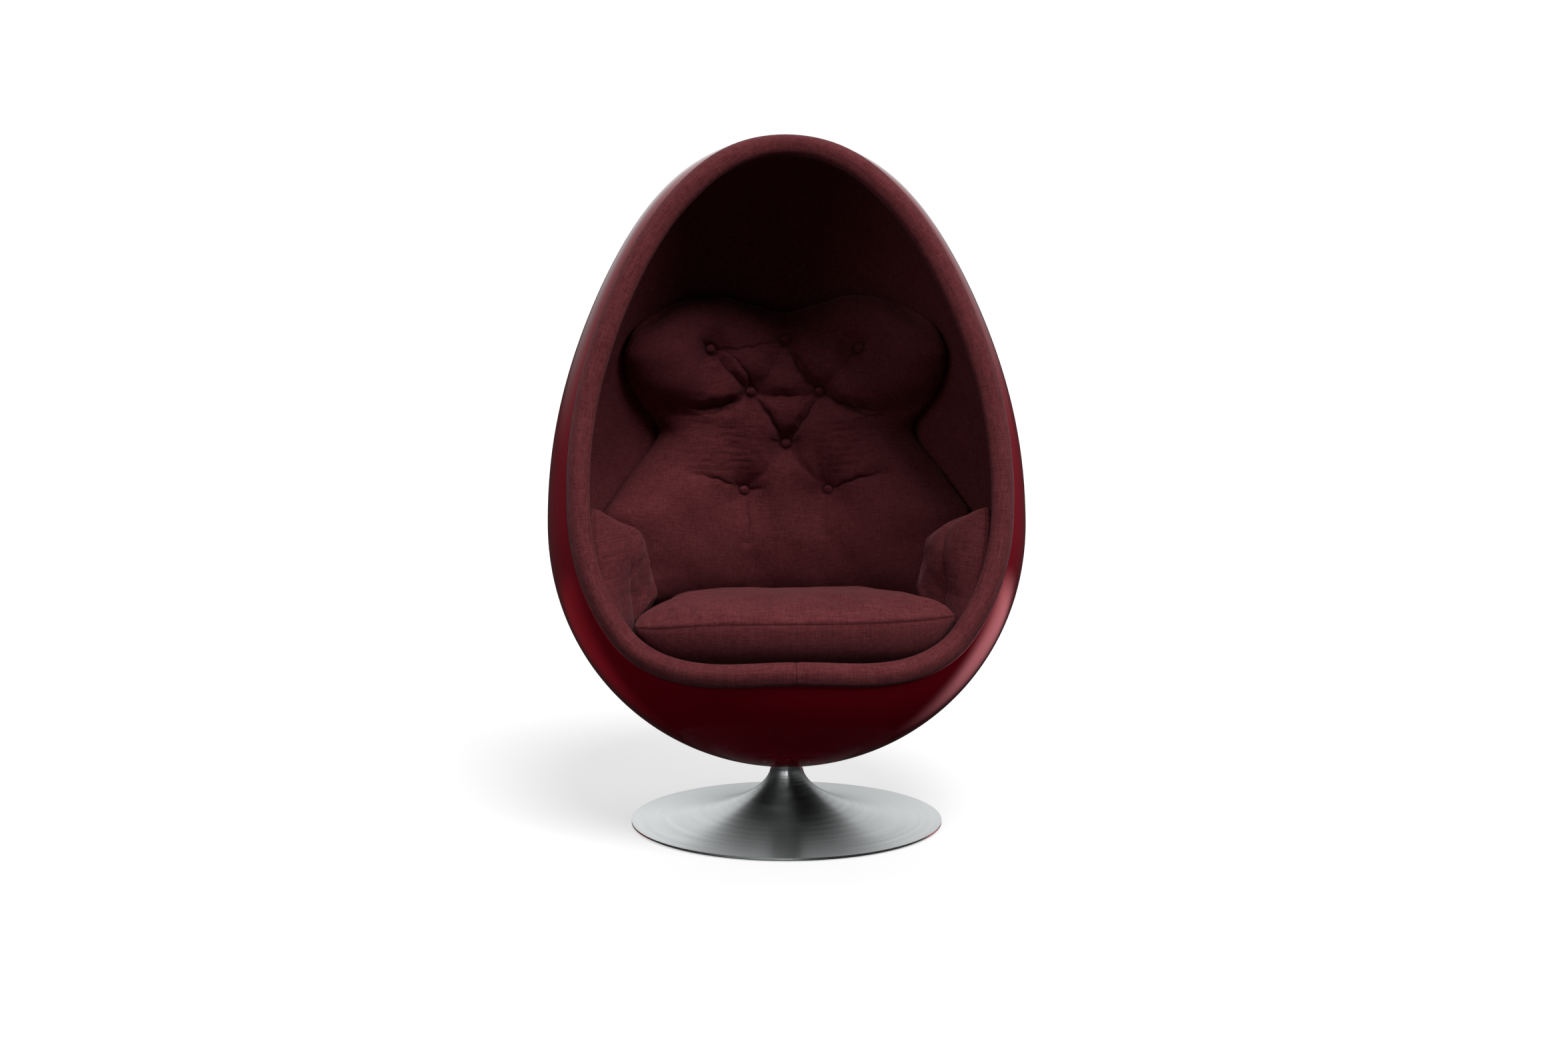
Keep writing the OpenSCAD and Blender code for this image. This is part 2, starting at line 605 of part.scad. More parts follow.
// Collar and spindle, turned in one piece
bolt_count = 4;
clip_slot = running_gap;

module swivel_hub() {
    end_z = clip_z - spindle_drop;
    color(bright_metal) difference() {
        union() {
            translate([0, 0, collar_z]) cylinder(r = collar_radius, h = collar_height, $fn = fine);
            translate([0, 0, end_z]) cylinder(r = spindle_radius, h = collar_z - end_z, $fn = fine);
        }
        translate([0, 0, clip_z - clip_slot])
            ring(spindle_radius + over, spindle_radius - clip_groove, clip_thickness + 2 * clip_slot);
        translate([0, 0, hub_top - bolt_entry - over]) round_place(bolt_circle, bolt_count)
            cylinder(r = bolt_radius + tap_gap, h = bolt_entry + 2 * over, $fn = fine);
    }
}

module retaining_washer() {
    color(zinc_metal) translate([0, 0, retainer_z])
        ring(spindle_radius + retainer_rim, spindle_radius + running_gap, retainer_thickness);
}

// A snap ring with an open mouth
clip_mouth = 8;
module retaining_clip() {
    color(dark_metal) translate([0, 0, clip_z]) difference() {
        ring(spindle_radius + clip_rim, spindle_radius - clip_groove + running_gap, clip_thickness);
        translate([0, -clip_mouth / 2, -over])
            cube([spindle_radius + clip_rim + over, clip_mouth, clip_thickness + 2 * over]);
    }
}

// The shell and the boss moulded into its bottom, with a flat that sits on the collar
boss_base = max([for (turn = turns)
    on_egg([boss_radius * sin(turn), boss_radius * cos(turn), egg_z], [0, 0, -1])[2]]);
boss_top = boss_base + shell_wall + boss_stand;
flat_margin = 1;

module boss_solid() {
    rotate_extrude($fn = fine) polygon([[0, hub_top], [collar_radius, hub_top],
        [boss_radius, boss_base + shell_wall / 2], [boss_radius, boss_top], [0, boss_top]]);
}

module outer_shell() {
    color(wine_gloss) difference() {
        union() {
            wall_layer(0, shell_wall);
            boss_solid();
        }
        translate([0, 0, shell_low - over])
            cylinder(r = collar_radius + flat_margin, h = spot_depth + over, $fn = fine);
        translate([0, 0, shell_low - over]) round_place(bolt_circle, bolt_count)
            cylinder(r = bolt_radius + hole_gap, h = boss_top - shell_low + 2 * over, $fn = fine);
    }
}

clamp_inset = 1;
module clamp_plate() {
    color(zinc_metal) translate([0, 0, boss_top]) difference() {
        cylinder(r = boss_radius - clamp_inset, h = clamp_thickness, $fn = fine);
        translate([0, 0, -over]) round_place(bolt_circle, bolt_count)
            cylinder(r = bolt_radius + hole_gap, h = clamp_thickness + 2 * over, $fn = fine);
    }
}

washer_thickness = 1.2;
washer_radius = 2.1 * bolt_radius;
head_radius = 1.7 * bolt_radius;
head_height = 0.9 * bolt_radius;
module pod_washers() {
    color(zinc_metal) translate([0, 0, boss_top + clamp_thickness]) round_place(bolt_circle, bolt_count)
        ring(washer_radius, bolt_radius + hole_gap, washer_thickness);
}

module pod_bolts() {
    head_z = boss_top + clamp_thickness + washer_thickness;
    color(zinc_metal) round_place(bolt_circle, bolt_count) {
        translate([0, 0, hub_top - bolt_entry])
            cylinder(r = bolt_radius, h = head_z - hub_top + bolt_entry, $fn = fine);
        translate([0, 0, head_z]) cylinder(r = head_radius, h = head_height, $fn = 6);
    }
}

// The lining is open round the mounting
well_gap = 8;
module lining() {
    color(wine_cloth) difference() {
        wall_layer(shell_wall + glue_gap, wall_depth);
        translate([0, 0, shell_low])
            cylinder(r = boss_radius + well_gap, h = boss_top - shell_low + wall_depth, $fn = fine);
    }
}

// The rim roll: a rounded section carried round the shell's edge
roll_sides = 9;
roll_fullness = 0.75;
roll_half = (wall_depth + 2 * roll_proud) / 2;
roll_section = [for (k = [0 : roll_sides]) let (a = 180 * k / roll_sides)
    [roll_proud - roll_half + roll_half * sign(cos(a)) * pow(abs(cos(a)), roll_fullness),
        roll_gap + (roll_depth - roll_gap) * pow(max(0, sin(a)), roll_fullness)]];
rim = skin[row_count];
rim_normals = skin_normals[row_count];
function rim_ahead(i) = unit(cross(rim[(i + 1) % rim_count] - rim[(i + rim_count - 1) % rim_count],
    rim_normals[i]));

module rim_roll() {
    sides = roll_sides + 1;
    points = [for (i = [0 : rim_count - 1]) for (q = roll_section)
        rim[i] + rim_normals[i] * q[0] + rim_ahead(i) * q[1]];
    faces = [for (i = [0 : rim_count - 1]) for (k = [0 : sides - 1])
        let (n = (i + 1) % rim_count, m = (k + 1) % sides, a = i * sides + k, b = i * sides + m,
            c = n * sides + m, d = n * sides + k)
        for (f = [[a, c, b], [a, d, c]]) f];
    color(wine_cloth) polyhedron(points, faces);
}

// Moulded foam that fills the shell's bottom under the seat cushion
base_turns = 40;
base_rows = 8;
module seat_base() {
    top = shell_low + seat_base_rise;
    start = [0, 0, top];
    function bowl_way(i, j) = let (a = 360 * i / base_turns, b = 90 * j / base_rows)
        [sin(b) * sin(a), sin(b) * cos(a), -cos(b)];
    function bowl_point(i, j) = let (p = on_egg(start, bowl_way(i, j)))
        p - lean_back(egg_normal(to_egg(p))) * (wall_depth + base_gap);
    points = concat([bowl_point(0, 0)],
        [for (j = [1 : base_rows]) for (i = [0 : base_turns - 1]) bowl_point(i, j)],
        [start + [0, 0, wall_depth]]);
    last = 1 + base_rows * base_turns;
    faces = concat(
        [for (i = [0 : base_turns - 1]) [0, 1 + (i + 1) % base_turns, 1 + i]],
        [for (j = [0 : base_rows - 2]) for (i = [0 : base_turns - 1])
            let (k = (i + 1) % base_turns, a = 1 + j * base_turns + i, b = 1 + j * base_turns + k,
                c = b + base_turns, d = a + base_turns)
            for (f = [[a, b, c], [a, c, d]]) f],
        [for (i = [0 : base_turns - 1]) [last, last - base_turns + i,
            last - base_turns + (i + 1) % base_turns]]);
    color(raw_foam) intersection() {
        polyhedron(points, faces);
        translate([-egg_radius, -egg_radius, shell_low])
            cube([2 * egg_radius, 2 * egg_radius, seat_base_rise]);
    }
}

module seat_cushion() {
    color(wine_cloth) pillow(24, 20, function(u, v, side) seat_point(u, v, side));
}

// A frame whose z axis is the wall's inward normal at a spot, at a given depth
module at_wall(az, s, depth) {
    p = wall_at(az, s, depth);
    n = -wall_normal(az, s);
    translate(p) rotate([0, acos(n[2]), atan2(n[1], n[0])]) children();
}

pocket_depth = 3;
module back_spots() {
    for (spot = button_spots) let (u = spot_u(spot, 0, 4))
        at_wall(back_turn_angle + spot_az(spot), spot[1],
            wall_depth + back_gap + back_swell(u, spot_w(spot, u)) - pocket_depth) children();
}

module back_cushion() {
    color(wine_cloth) difference() {
        pillow(26, 23, function(u, v, side) back_point(u, v, side));
        back_spots() cylinder(r = button_diameter / 2 + glue_gap, h = back_thickness, $fn = fine / 3);
    }
}

// A covered button: a low dome over a short rim
button_rim_share = 0.4;
module button() {
    rise = button_height * (1 - button_rim_share);
    dome = (pow(button_diameter / 2, 2) + rise * rise) / (2 * rise);
    rotate_extrude($fn = fine / 2) polygon(concat([[0, 0], [button_diameter / 2, 0]],
        [for (k = [0 : 6]) let (a = asin(button_diameter / 2 / dome) * (1 - k / 6))
            [dome * sin(a), button_height - dome * (1 - cos(a))]]));
}

module back_buttons() {
    color(wine_cloth) back_spots() button();
}

// The button on the inner face of each arm cushion
module arm_spot() {
    at_wall(arm_az(arm_button_shares[0]), arm_s(arm_button_shares[0], arm_button_shares[1]),
        wall_depth + arm_gap + arm_swell(arm_button_shares[0], arm_button_shares[1]) - pocket_depth)
            children();
}

module arm_pad() {
    difference() {
        pillow(18, 16, function(u, v, side) arm_point(u, v, side));
        arm_spot() cylinder(r = button_diameter / 2 + glue_gap, h = arm_thickness, $fn = fine / 3);
    }
}

module arm_cushion_right() {
    color(wine_cloth) arm_pad();
}

module arm_cushion_left() {
    color(wine_cloth) mirror([1, 0, 0]) arm_pad();
}

module arm_buttons() {
    color(wine_cloth) {
        arm_spot() button();
        mirror([1, 0, 0]) arm_spot() button();
    }
}

floor_pad();
ballast_plate();
ballast_weight();
base_cover();
neck_spacer();
column_tube();
column_screws();
lower_bush();
upper_bush();
thrust_race_lower();
bearing_balls();
ball_cage();
thrust_race_upper();
swivel_hub();
retaining_washer();
retaining_clip();
outer_shell();
clamp_plate();
pod_washers();
pod_bolts();
lining();
rim_roll();
seat_base();
seat_cushion();
back_cushion();
arm_cushion_left();
arm_cushion_right();
back_buttons();
arm_buttons();
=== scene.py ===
"""The looks of a pod chair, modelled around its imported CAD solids.

Everything is in metres in the CAD's frame: the floor is z = 0, the swivel axis is Z and the open
front faces -Y. The egg, its opening and the cushions follow the same formulas as the solids.
"""

import json
import math

import bpy
import numpy as np
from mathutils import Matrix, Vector


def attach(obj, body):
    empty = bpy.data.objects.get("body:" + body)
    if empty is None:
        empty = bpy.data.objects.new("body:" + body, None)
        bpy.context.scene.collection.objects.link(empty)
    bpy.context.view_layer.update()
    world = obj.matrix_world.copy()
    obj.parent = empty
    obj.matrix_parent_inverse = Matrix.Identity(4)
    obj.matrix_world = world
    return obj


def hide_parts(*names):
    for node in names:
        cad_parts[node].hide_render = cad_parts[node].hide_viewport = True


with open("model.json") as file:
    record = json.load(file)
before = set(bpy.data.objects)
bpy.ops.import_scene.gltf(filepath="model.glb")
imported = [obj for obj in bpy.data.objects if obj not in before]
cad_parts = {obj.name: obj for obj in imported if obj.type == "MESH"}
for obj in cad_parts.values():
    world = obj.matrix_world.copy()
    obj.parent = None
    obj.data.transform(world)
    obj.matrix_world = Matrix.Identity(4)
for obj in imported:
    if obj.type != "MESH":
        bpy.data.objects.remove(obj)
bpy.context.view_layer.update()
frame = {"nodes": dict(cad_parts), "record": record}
scene = bpy.context.scene

# Sizes shared with the solids
EGG_RADIUS, EGG_UPPER, EGG_LOWER = 0.449, 0.7325, 0.459
EGG_LEAN = math.radians(12)
UPPER_FULLNESS, LOWER_FULLNESS = 2.4, 2.05
FLANK_DRAW = 0.074
SHELL_LOW = 0.1173
OPENING_LEAN = math.radians(17)
LIP_RADIUS, LIP_RISE, LIP_INSET = 0.09, 0.306, 0.097
CURL_RADIUS, CURL_DROP, CURL_END = 0.2, 0.11, math.radians(55)
SHELL_WALL, GLUE_GAP, LINING_WALL = 0.005, 0.0003, 0.027
WALL_DEPTH = SHELL_WALL + GLUE_GAP + LINING_WALL
LINING_RADIUS = EGG_RADIUS - WALL_DEPTH
ROLL_PROUD, ROLL_DEPTH, ROLL_GAP = 0.004, 0.03, 0.0007
BACK_GAP, ARM_GAP, BASE_GAP = 0.0017, 0.0024, 0.0034
SEAM_DEPTH = 0.016
BACK_HALF_WIDTH, BACK_LENGTH, BACK_START = 0.312, 0.65, 0.15
BACK_THICKNESS, BACK_TURN, TUFT_DEPTH = 0.128, math.radians(2.3), 0.034
ARM_THICKNESS, ARM_RISE, ARM_SINK, ARM_SIDE_GAP = 0.146, 0.012, 0.008, 0.006
ARM_START, ARM_SWEEP, ARM_TUFT = math.radians(66), math.radians(51), 0.014
ARM_BUTTON = (-0.1, 0.1)
SEAT_BASE_RISE, SEAT_SKIRT, SEAT_CROWN, SEAT_FALL, SEAT_BOW = 0.228, 0.093, 0.054, 0.075, 0.045
SEAT_HALF_WIDTH, SEAT_WAIST, SEAT_REACH, SEAT_REAR = 0.294, 0.238, 0.335, 0.228
SEAT_LOW = SHELL_LOW + SEAT_BASE_RISE + GLUE_GAP
BUTTON_RADIUS, BUTTON_HEIGHT, POCKET_DEPTH = 0.0105, 0.007, 0.003
BACK_FULLNESS, REAR_FULLNESS = (4, 3.2), (10, 10)
BUTTON_FACETS, BUTTON_RINGS = 32, 12
HALVINGS, ROUNDS = 34, 6


# The egg
SLOPE_STEP = 0.0005


def egg_square(s):
    """The egg's squared radius at a distance s along its axis."""
    s = np.asarray(s, float)
    t = np.abs(s) / np.where(s >= 0, EGG_UPPER, EGG_LOWER)
    draw = np.where(s >= 0, 1 - FLANK_DRAW * 4 * t * t * (1 - t * t), 1.0)
    return EGG_RADIUS**2 * (1 - t ** np.where(s >= 0, UPPER_FULLNESS, LOWER_FULLNESS)) * draw**2


def egg_round(s):
    return np.sqrt(np.maximum(egg_square(s), 0))


def lean_back(e):
    c, n = math.cos(EGG_LEAN), math.sin(EGG_LEAN)
    return np.stack([e[..., 0], e[..., 1] * c + e[..., 2] * n, e[..., 2] * c - e[..., 1] * n], -1)


scan = np.linspace(0, 1, 401)
EGG_Z = SHELL_LOW + np.max(egg_round(-EGG_LOWER * scan) * math.sin(EGG_LEAN)
                           + EGG_LOWER * scan * math.cos(EGG_LEAN))
EGG_TOP = EGG_Z + np.max(egg_round(EGG_UPPER * scan) * math.sin(EGG_LEAN)
                         + EGG_UPPER * scan * math.cos(EGG_LEAN))


def to_row(e):
    return lean_back(e) + np.array([0, 0, EGG_Z])


def to_egg(p):
    c, n = math.cos(EGG_LEAN), math.sin(EGG_LEAN)
    y, z = p[..., 1], p[..., 2] - EGG_Z
    return np.stack([p[..., 0], y * c - z * n, y * n + z * c], -1)


def unit(v):
    return v / np.maximum(np.linalg.norm(v, axis=-1, keepdims=True), 1e-12)


def egg_normal(e):
    """The egg's outward normal at a point of its own frame."""
    step = SLOPE_STEP
    slope = (egg_square(e[..., 2] - step) - egg_square(e[..., 2] + step)) / (4 * step)
    return unit(np.stack([e[..., 0], e[..., 1], slope], -1))


def egg_at(az, s):
    """A point of the egg in its own frame, at an angle az from the back and s along the axis."""
    az, s = np.broadcast_arrays(az, s)
    r = egg_round(s)
    return np.stack([r * np.sin(az), r * np.cos(az), s], -1)


def wall_at(az, s, depth):
    """Points at an angle az from the back, s along the axis and a depth inside the shell's surface."""
    e = egg_at(az, s)
    return to_row(e - egg_normal(e) * np.asarray(depth)[..., None])


def wall_normal(az, s):
    """The shell's outward normal at an angle from the back and s along the axis."""
    return lean_back(egg_normal(egg_at(az, s)))


def last_before(is_past, shape, low, high):
    """Between two values, by halving, the last that isn't past a border."""
    low, high = np.full(shape, low), np.full(shape, high)
    for _ in range(HALVINGS):
        mid = (low + high) / 2
        past = is_past(mid)
        low, high = np.where(past, low, mid), np.where(past, mid, high)
    return low


def on_egg(start, ways):
    """Where rays from an inner point meet the egg."""
    def is_past(length):
        e = to_egg(start + ways * length[..., None])
        return e[..., 0] ** 2 + e[..., 1] ** 2 > egg_square(e[..., 2])

    length = last_before(is_past, ways.shape[:-1], 0.0, 2 * (EGG_UPPER + EGG_LOWER))
    return start + ways * length[..., None]


# The opening and the wall's grid
LIP_Y, LIP_Z = LIP_INSET - EGG_RADIUS, SHELL_LOW + LIP_RISE
JOIN_Y = LIP_Y + LIP_RADIUS * math.cos(OPENING_LEAN)
JOIN_Z = LIP_Z - LIP_RADIUS * math.sin(OPENING_LEAN)
CURL_Z = EGG_TOP - CURL_DROP
CURL_MID_Y = JOIN_Y + (CURL_Z - JOIN_Z) * math.tan(OPENING_LEAN) + CURL_RADIUS * math.cos(OPENING_LEAN)
CURL_MID_Z = CURL_Z - CURL_RADIUS * math.sin(OPENING_LEAN)
FOCUS_BACK_SHARE, FOCUS_RISE_SHARE = 0.11, 0.1
FOCUS = np.array([0, FOCUS_BACK_SHARE * EGG_RADIUS, EGG_Z + FOCUS_RISE_SHARE * EGG_RADIUS])
LEAST_SWING, MOST_SWING = math.radians(30), math.radians(179)
LIP_SHARE = 0.8


def is_open(y, z):
    """Whether a point of the egg, seen from the side, lies in the opening."""
    lip_floor = LIP_Z - np.sqrt(LIP_RADIUS**2 - np.minimum(np.abs(y - LIP_Y), LIP_SHARE * LIP_RADIUS) ** 2)
    cy, cz = y - CURL_MID_Y, z - CURL_MID_Z
    reach = np.where(np.arctan2(cz, -cy) < CURL_END, np.hypot(cy, cz),
                     cz * math.sin(CURL_END) - cy * math.cos(CURL_END))
    flank = y < JOIN_Y + (z - JOIN_Z) * math.tan(OPENING_LEAN)
    low = np.where(y < LIP_Y, z > lip_floor, np.hypot(y - LIP_Y, z - LIP_Z) < LIP_RADIUS)
    return np.where(z > CURL_Z, reach > CURL_RADIUS, np.where(z > JOIN_Z, flank, low))


def ray_way(swing, turn):
    """A ray's direction: swung from the back, and turned about the back's axis."""
    return np.stack([np.sin(swing) * np.sin(turn), np.cos(swing), np.sin(swing) * np.cos(turn)], -1)


def edge_swings(turn):
    """How far rays from the focus swing from the back before they reach the opening's edge."""
    def is_past(swing):
        p = on_egg(FOCUS, ray_way(swing, turn))
        return is_open(p[:, 1], p[:, 2])

    return last_before(is_past, turn.shape, LEAST_SWING, MOST_SWING)


def wall_grid(rim_count, row_count):
    """Points and outward normals on the shell's surface: rows from the pole at the back to the rim."""
    turn = np.arange(rim_count) * 2 * math.pi / rim_count
    share = np.linspace(0, 1, row_count + 1)[:, None]
    swing = edge_swings(turn)[None, :] * share
    points = on_egg(FOCUS, ray_way(swing, np.broadcast_to(turn, swing.shape)))
    return points, lean_back(egg_normal(to_egg(points)))


# Meshes
def tuples(rows):
    return [tuple(row) for row in rows.tolist()]


def ring_faces(rows, columns, flip=False, start=0, closed=False):
    """Quads of rows rings of columns points; closed joins the last ring to the first."""
    j, i = np.meshgrid(np.arange(rows if closed else rows - 1), np.arange(columns), indexing="ij")
    k, m = (i + 1) % columns, (j + 1) % rows
    quad = np.stack([j * columns + i, j * columns + k, m * columns + k, m * columns + i], -1)
    quad = quad.reshape(-1, 4) + start
    return tuples(quad[:, ::-1] if flip else quad)


def add_piece(name, points, faces, material, slot, replaces=(), body="pod", **layers):
    """A smooth mesh that rides on a body. Each layer is a number or vector for each point."""
    mesh = bpy.data.meshes.new(name)
    mesh.from_pydata(np.asarray(points, float).reshape(-1, 3).tolist(), [], faces)
    for key, values in layers.items():
        values = np.asarray(values, np.float32)
        kind = "FLOAT" if values.ndim == 1 else "FLOAT_VECTOR"
        layer = mesh.attributes.new(key, kind, "POINT")
        layer.data.foreach_set("value" if values.ndim == 1 else "vector", values.ravel())
    mesh.polygons.foreach_set("use_smooth", [True] * len(mesh.polygons))
    mesh.update()
    mesh.validate()
    mesh.materials.append(material)
    piece = bpy.data.objects.new(name, mesh)
    scene.collection.objects.link(piece)
    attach(piece, body)
    if replaces:
        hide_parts(*replaces)
    return piece


def lengths(points, axis):
    """For a grid of points, metres from its edge along one axis of the grid."""
    step = np.linalg.norm(np.diff(points, axis=axis), axis=-1)
    return np.concatenate([np.zeros_like(np.take(step, [0], axis)), np.cumsum(step, axis)], axis)


def smooth_table(pairs, width):
    """A table's values, rounded off over a width of its argument."""
    x, y = np.array(pairs, float).T
    fine = np.linspace(x[0], x[-1], 601)
    values = np.interp(fine, x, y)
    step = fine[1] - fine[0]
    reach = int(3 * width / step)
    weight = np.exp(-0.5 * (np.arange(-reach, reach + 1) * step / width) ** 2)
    padded = np.pad(values, reach, mode="reflect", reflect_type="odd")
    rounded = np.convolve(padded, weight / weight.sum(), "valid")
    return lambda t: np.interp(t, fine, rounded)


def spread(count, edge_share=0.3):
    """From -1 to 1 in steps that are shorter near the ends."""
    t = np.linspace(-1, 1, count)
    return edge_share * np.sin(math.pi / 2 * t) + (1 - edge_share) * t


def crown(u, v, fullness):
    return np.sqrt((1 - np.abs(u) ** fullness[0]) * (1 - np.abs(v) ** fullness[1]))


# Materials
class Nodes:
    """Short calls for building the nodes of a material or a world."""

    def __init__(self, owner, output):
        owner.use_nodes = True
        self.owner, self.tree = owner, owner.node_tree
        self.tree.nodes.clear()
        self.output = self.add(output)

    def add(self, kind, inputs=None, **settings):
        node = self.tree.nodes.new("ShaderNode" + kind)
        for key, value in settings.items():
            setattr(node, key, value)
        for key, value in (inputs or {}).items():
            if isinstance(value, bpy.types.NodeSocket):
                self.tree.links.new(value, node.inputs[key])
            else:
                node.inputs[key].default_value = value
        return node

    def math(self, operation, a, b=0.0):
        return self.add("Math", {0: a, 1: b}, operation=operation).outputs[0]

    def total(self, first, *others):
        for value in others:
            first = self.math("ADD", first, value)
        return first

    def product(self, first, *others):
        for value in others:
            first = self.math("MULTIPLY", first, value)
        return first

    def mixture(self, parts):
        """The sum of values, each times its weight."""
        return self.total(*(self.product(value, weight) for value, weight in parts))

    def bell(self, value, middle, width):
        away = self.math("DIVIDE", self.math("SUBTRACT", value, middle), width)
        return self.math("EXPONENT", self.product(away, away, -1.0))

    def noise(self, vector, scale, stretch=(1, 1, 1), detail=3.0, roughness=0.6):
        mapping = self.add("Mapping", {"Vector": vector, "Scale": stretch})
        return self.add("TexNoise", {"Vector": mapping.outputs[0], "Scale": scale, "Detail": detail,
                                     "Roughness": roughness}).outputs["Fac"]

    def ramp(self, value, low, high, out_low=0.0, out_high=1.0):
        return self.add("MapRange", {"Value": value, "From Min": low, "From Max": high, "To Min": out_low,
                                     "To Max": out_high}, interpolation_type="SMOOTHSTEP").outputs[0]

    def blend(self, share, a, b):
        return self.add("Mix", {0: share, 6: a, 7: b}, data_type="RGBA").outputs[2]

    def mix_shader(self, share, a, b):
        return self.add("MixShader", {0: share, 1: a.outputs[0], 2: b.outputs[0]})

    def place(self):
        return self.add("TexCoord").outputs["Object"]

    def bump(self, height, strength, distance):
        return self.add("Bump", {"Height": height, "Strength": strength, "Distance": distance}).outputs[0]

    def surface(self, colour, roughness, normal, **inputs):
        """The finished owner, with a principled surface."""
        inputs = {key.replace("_", " "): value for key, value in inputs.items()}
        return self.finish(self.add("BsdfPrincipled", {"Base Color": colour, "Roughness": roughness,
                                                       "Normal": normal, **inputs}))

    def finish(self, shader):
        self.tree.links.new(shader.outputs[0], self.output.inputs["Surface"])
        return self.owner


def material_nodes(name):
    return Nodes(bpy.data.materials.new(name), "OutputMaterial")


def cloth_material():
    """Heathered linen weave: slubs along the weft, fine warp threads, a soft nap, sewn seams, and painted
    shade in creases and round buttons.
    """
    dark, light, seam_and_crease_shade_colour = (0.075, 0.0145, 0.0175, 1), (0.175, 0.043, 0.048, 1), (0.02, 0.004, 0.006, 1)
    n = material_nodes("linen_cloth")
    weave = n.add("Attribute", attribute_name="weave").outputs["Vector"]
    seam = n.add("Attribute", attribute_name="seam").outputs["Fac"]
    slubs = n.noise(weave, 1.0, (70, 620, 1), detail=2.0)
    streaks = n.noise(weave, 1.0, (24, 330, 1), detail=1.5)
    warp = n.noise(weave, 1.0, (560, 60, 1), detail=2.0)
    stripes = n.noise(weave, 1.0, (230, 16, 1), detail=1.5)
    grain = n.noise(weave, 1.0, (1000, 1200, 1), detail=1.0)
    mottle = n.noise(weave, 9.0, detail=4.0)
    tone = n.mixture(((slubs, 0.7), (streaks, 0.35), (warp, 0.55), (stripes, 0.12), (mottle, 0.28)))
    share = n.add("MapRange", {"Value": tone, "From Min": 0.76, "From Max": 1.24}).outputs[0]
    colour = n.blend(share, dark, light)
    edge = n.math("ABSOLUTE", seam)
    line = n.ramp(edge, 0.0002, 0.0011, 0.35, 1.0)
    # The fold layer pulls the colour towards the dark seam colour: painted shade in the creases and round the
    # buttons
    fold = n.add("Attribute", attribute_name="fold").outputs["Fac"]
    line = n.product(line, n.ramp(fold, 0.0, 1.0, 1.0, 0.25))
    colour = n.blend(line, seam_and_crease_shade_colour, colour)
    height = n.mixture(((slubs, 0.6), (warp, 0.4), (grain, 0.25), (n.ramp(edge, 0.0, 0.004), 2.2)))
    return n.surface(colour, 0.88, n.bump(height, 0.55, 0.0008), Specular_IOR_Level=0.12,
                     Sheen_Weight=0.08, Sheen_Roughness=0.45, Sheen_Tint=(1.0, 0.62, 0.66, 1))


def gloss_material():
    """Wine red gel coat: deep, high gloss, with the faint waviness of polished glass fibre."""
    n = material_nodes("shell_gel_coat")
    place = n.place()
    waves = n.noise(place, 9.0, detail=1.0)
    peel = n.noise(place, 260.0, detail=1.0)
    mottle = n.noise(place, 3.0, detail=2.0)
    colour = n.blend(mottle, (0.25, 0.0035, 0.0145, 1), (0.28, 0.0042, 0.0175, 1))
    height = n.mixture(((waves, 1.0), (peel, 0.012)))
    scuffs = n.ramp(n.noise(place, 40.0, detail=5.0), 0.45, 0.75, 0.045, 0.085)
    return n.surface(colour, scuffs, n.bump(height, 0.07, 0.002), Specular_IOR_Level=0.25,
                     Coat_Weight=0.25, Coat_Roughness=0.03)


def brushed_material():
    """Spun aluminium: fine rings round the axis that stretch the highlights across them."""
    n = material_nodes("spun_aluminium")
    parts = n.add("SeparateXYZ", {0: n.place()}).outputs
    radius = n.math("SQRT", n.total(n.product(parts[0], parts[0]), n.product(parts[1], parts[1])))
    bearing = n.math("ARCTAN2", parts[1], parts[0])
    polar = n.add("CombineXYZ", {0: bearing, 1: radius, 2: parts[2]}).outputs[0]
    rings = n.noise(polar, 1.0, (1.2, 2400, 900), detail=2.0)
    bands = n.noise(polar, 1.0, (0.7, 90, 30), detail=2.0)
    colour = n.blend(n.ramp(rings, 0.3, 0.7), (0.69, 0.7, 0.7, 1), (0.75, 0.76, 0.76, 1))
    rough = n.ramp(n.mixture(((rings, 0.6), (bands, 0.4))), 0.35, 0.65, 0.3, 0.38)
    tangent = n.add("Tangent", direction_type="RADIAL", axis="Z").outputs[0]
    return n.surface(colour, rough, n.bump(rings, 0.01, 0.0001), Metallic=1.0, Anisotropic=0.75,
                     Anisotropic_Rotation=0.25, Tangent=tangent)


def grained_material(name, colour, roughness, grain, detail, darkest, rough_shares, bump, **inputs):
    """A material whose colour, roughness and surface vary with a fine grain."""
    n = material_nodes(name)
    spots = n.noise(n.place(), grain, detail=detail)
    shade = n.blend(n.ramp(spots, 0.3, 0.7), tuple(darkest * c for c in colour) + (1,), colour + (1,))
    rough = n.ramp(spots, 0.3, 0.7, *(min(1.0, roughness * share) for share in rough_shares))
    return n.surface(shade, rough, n.bump(spots, *bump), **inputs)


def metal_material(name, colour, roughness, grain=300.0):
    """Plain worked metal."""
    return grained_material(name, colour, roughness, grain, 3.0, 0.8, (0.8, 1.3), (0.1, 0.0001), Metallic=1.0)


def plain_material(name, colour, roughness, grain=400.0, depth=0.0002):
    """Rubber, paint, plastic or foam."""
    return grained_material(name, colour, roughness, grain, 4.0, 0.75, (0.9, 1.15), (0.4, depth))


cloth = cloth_material()

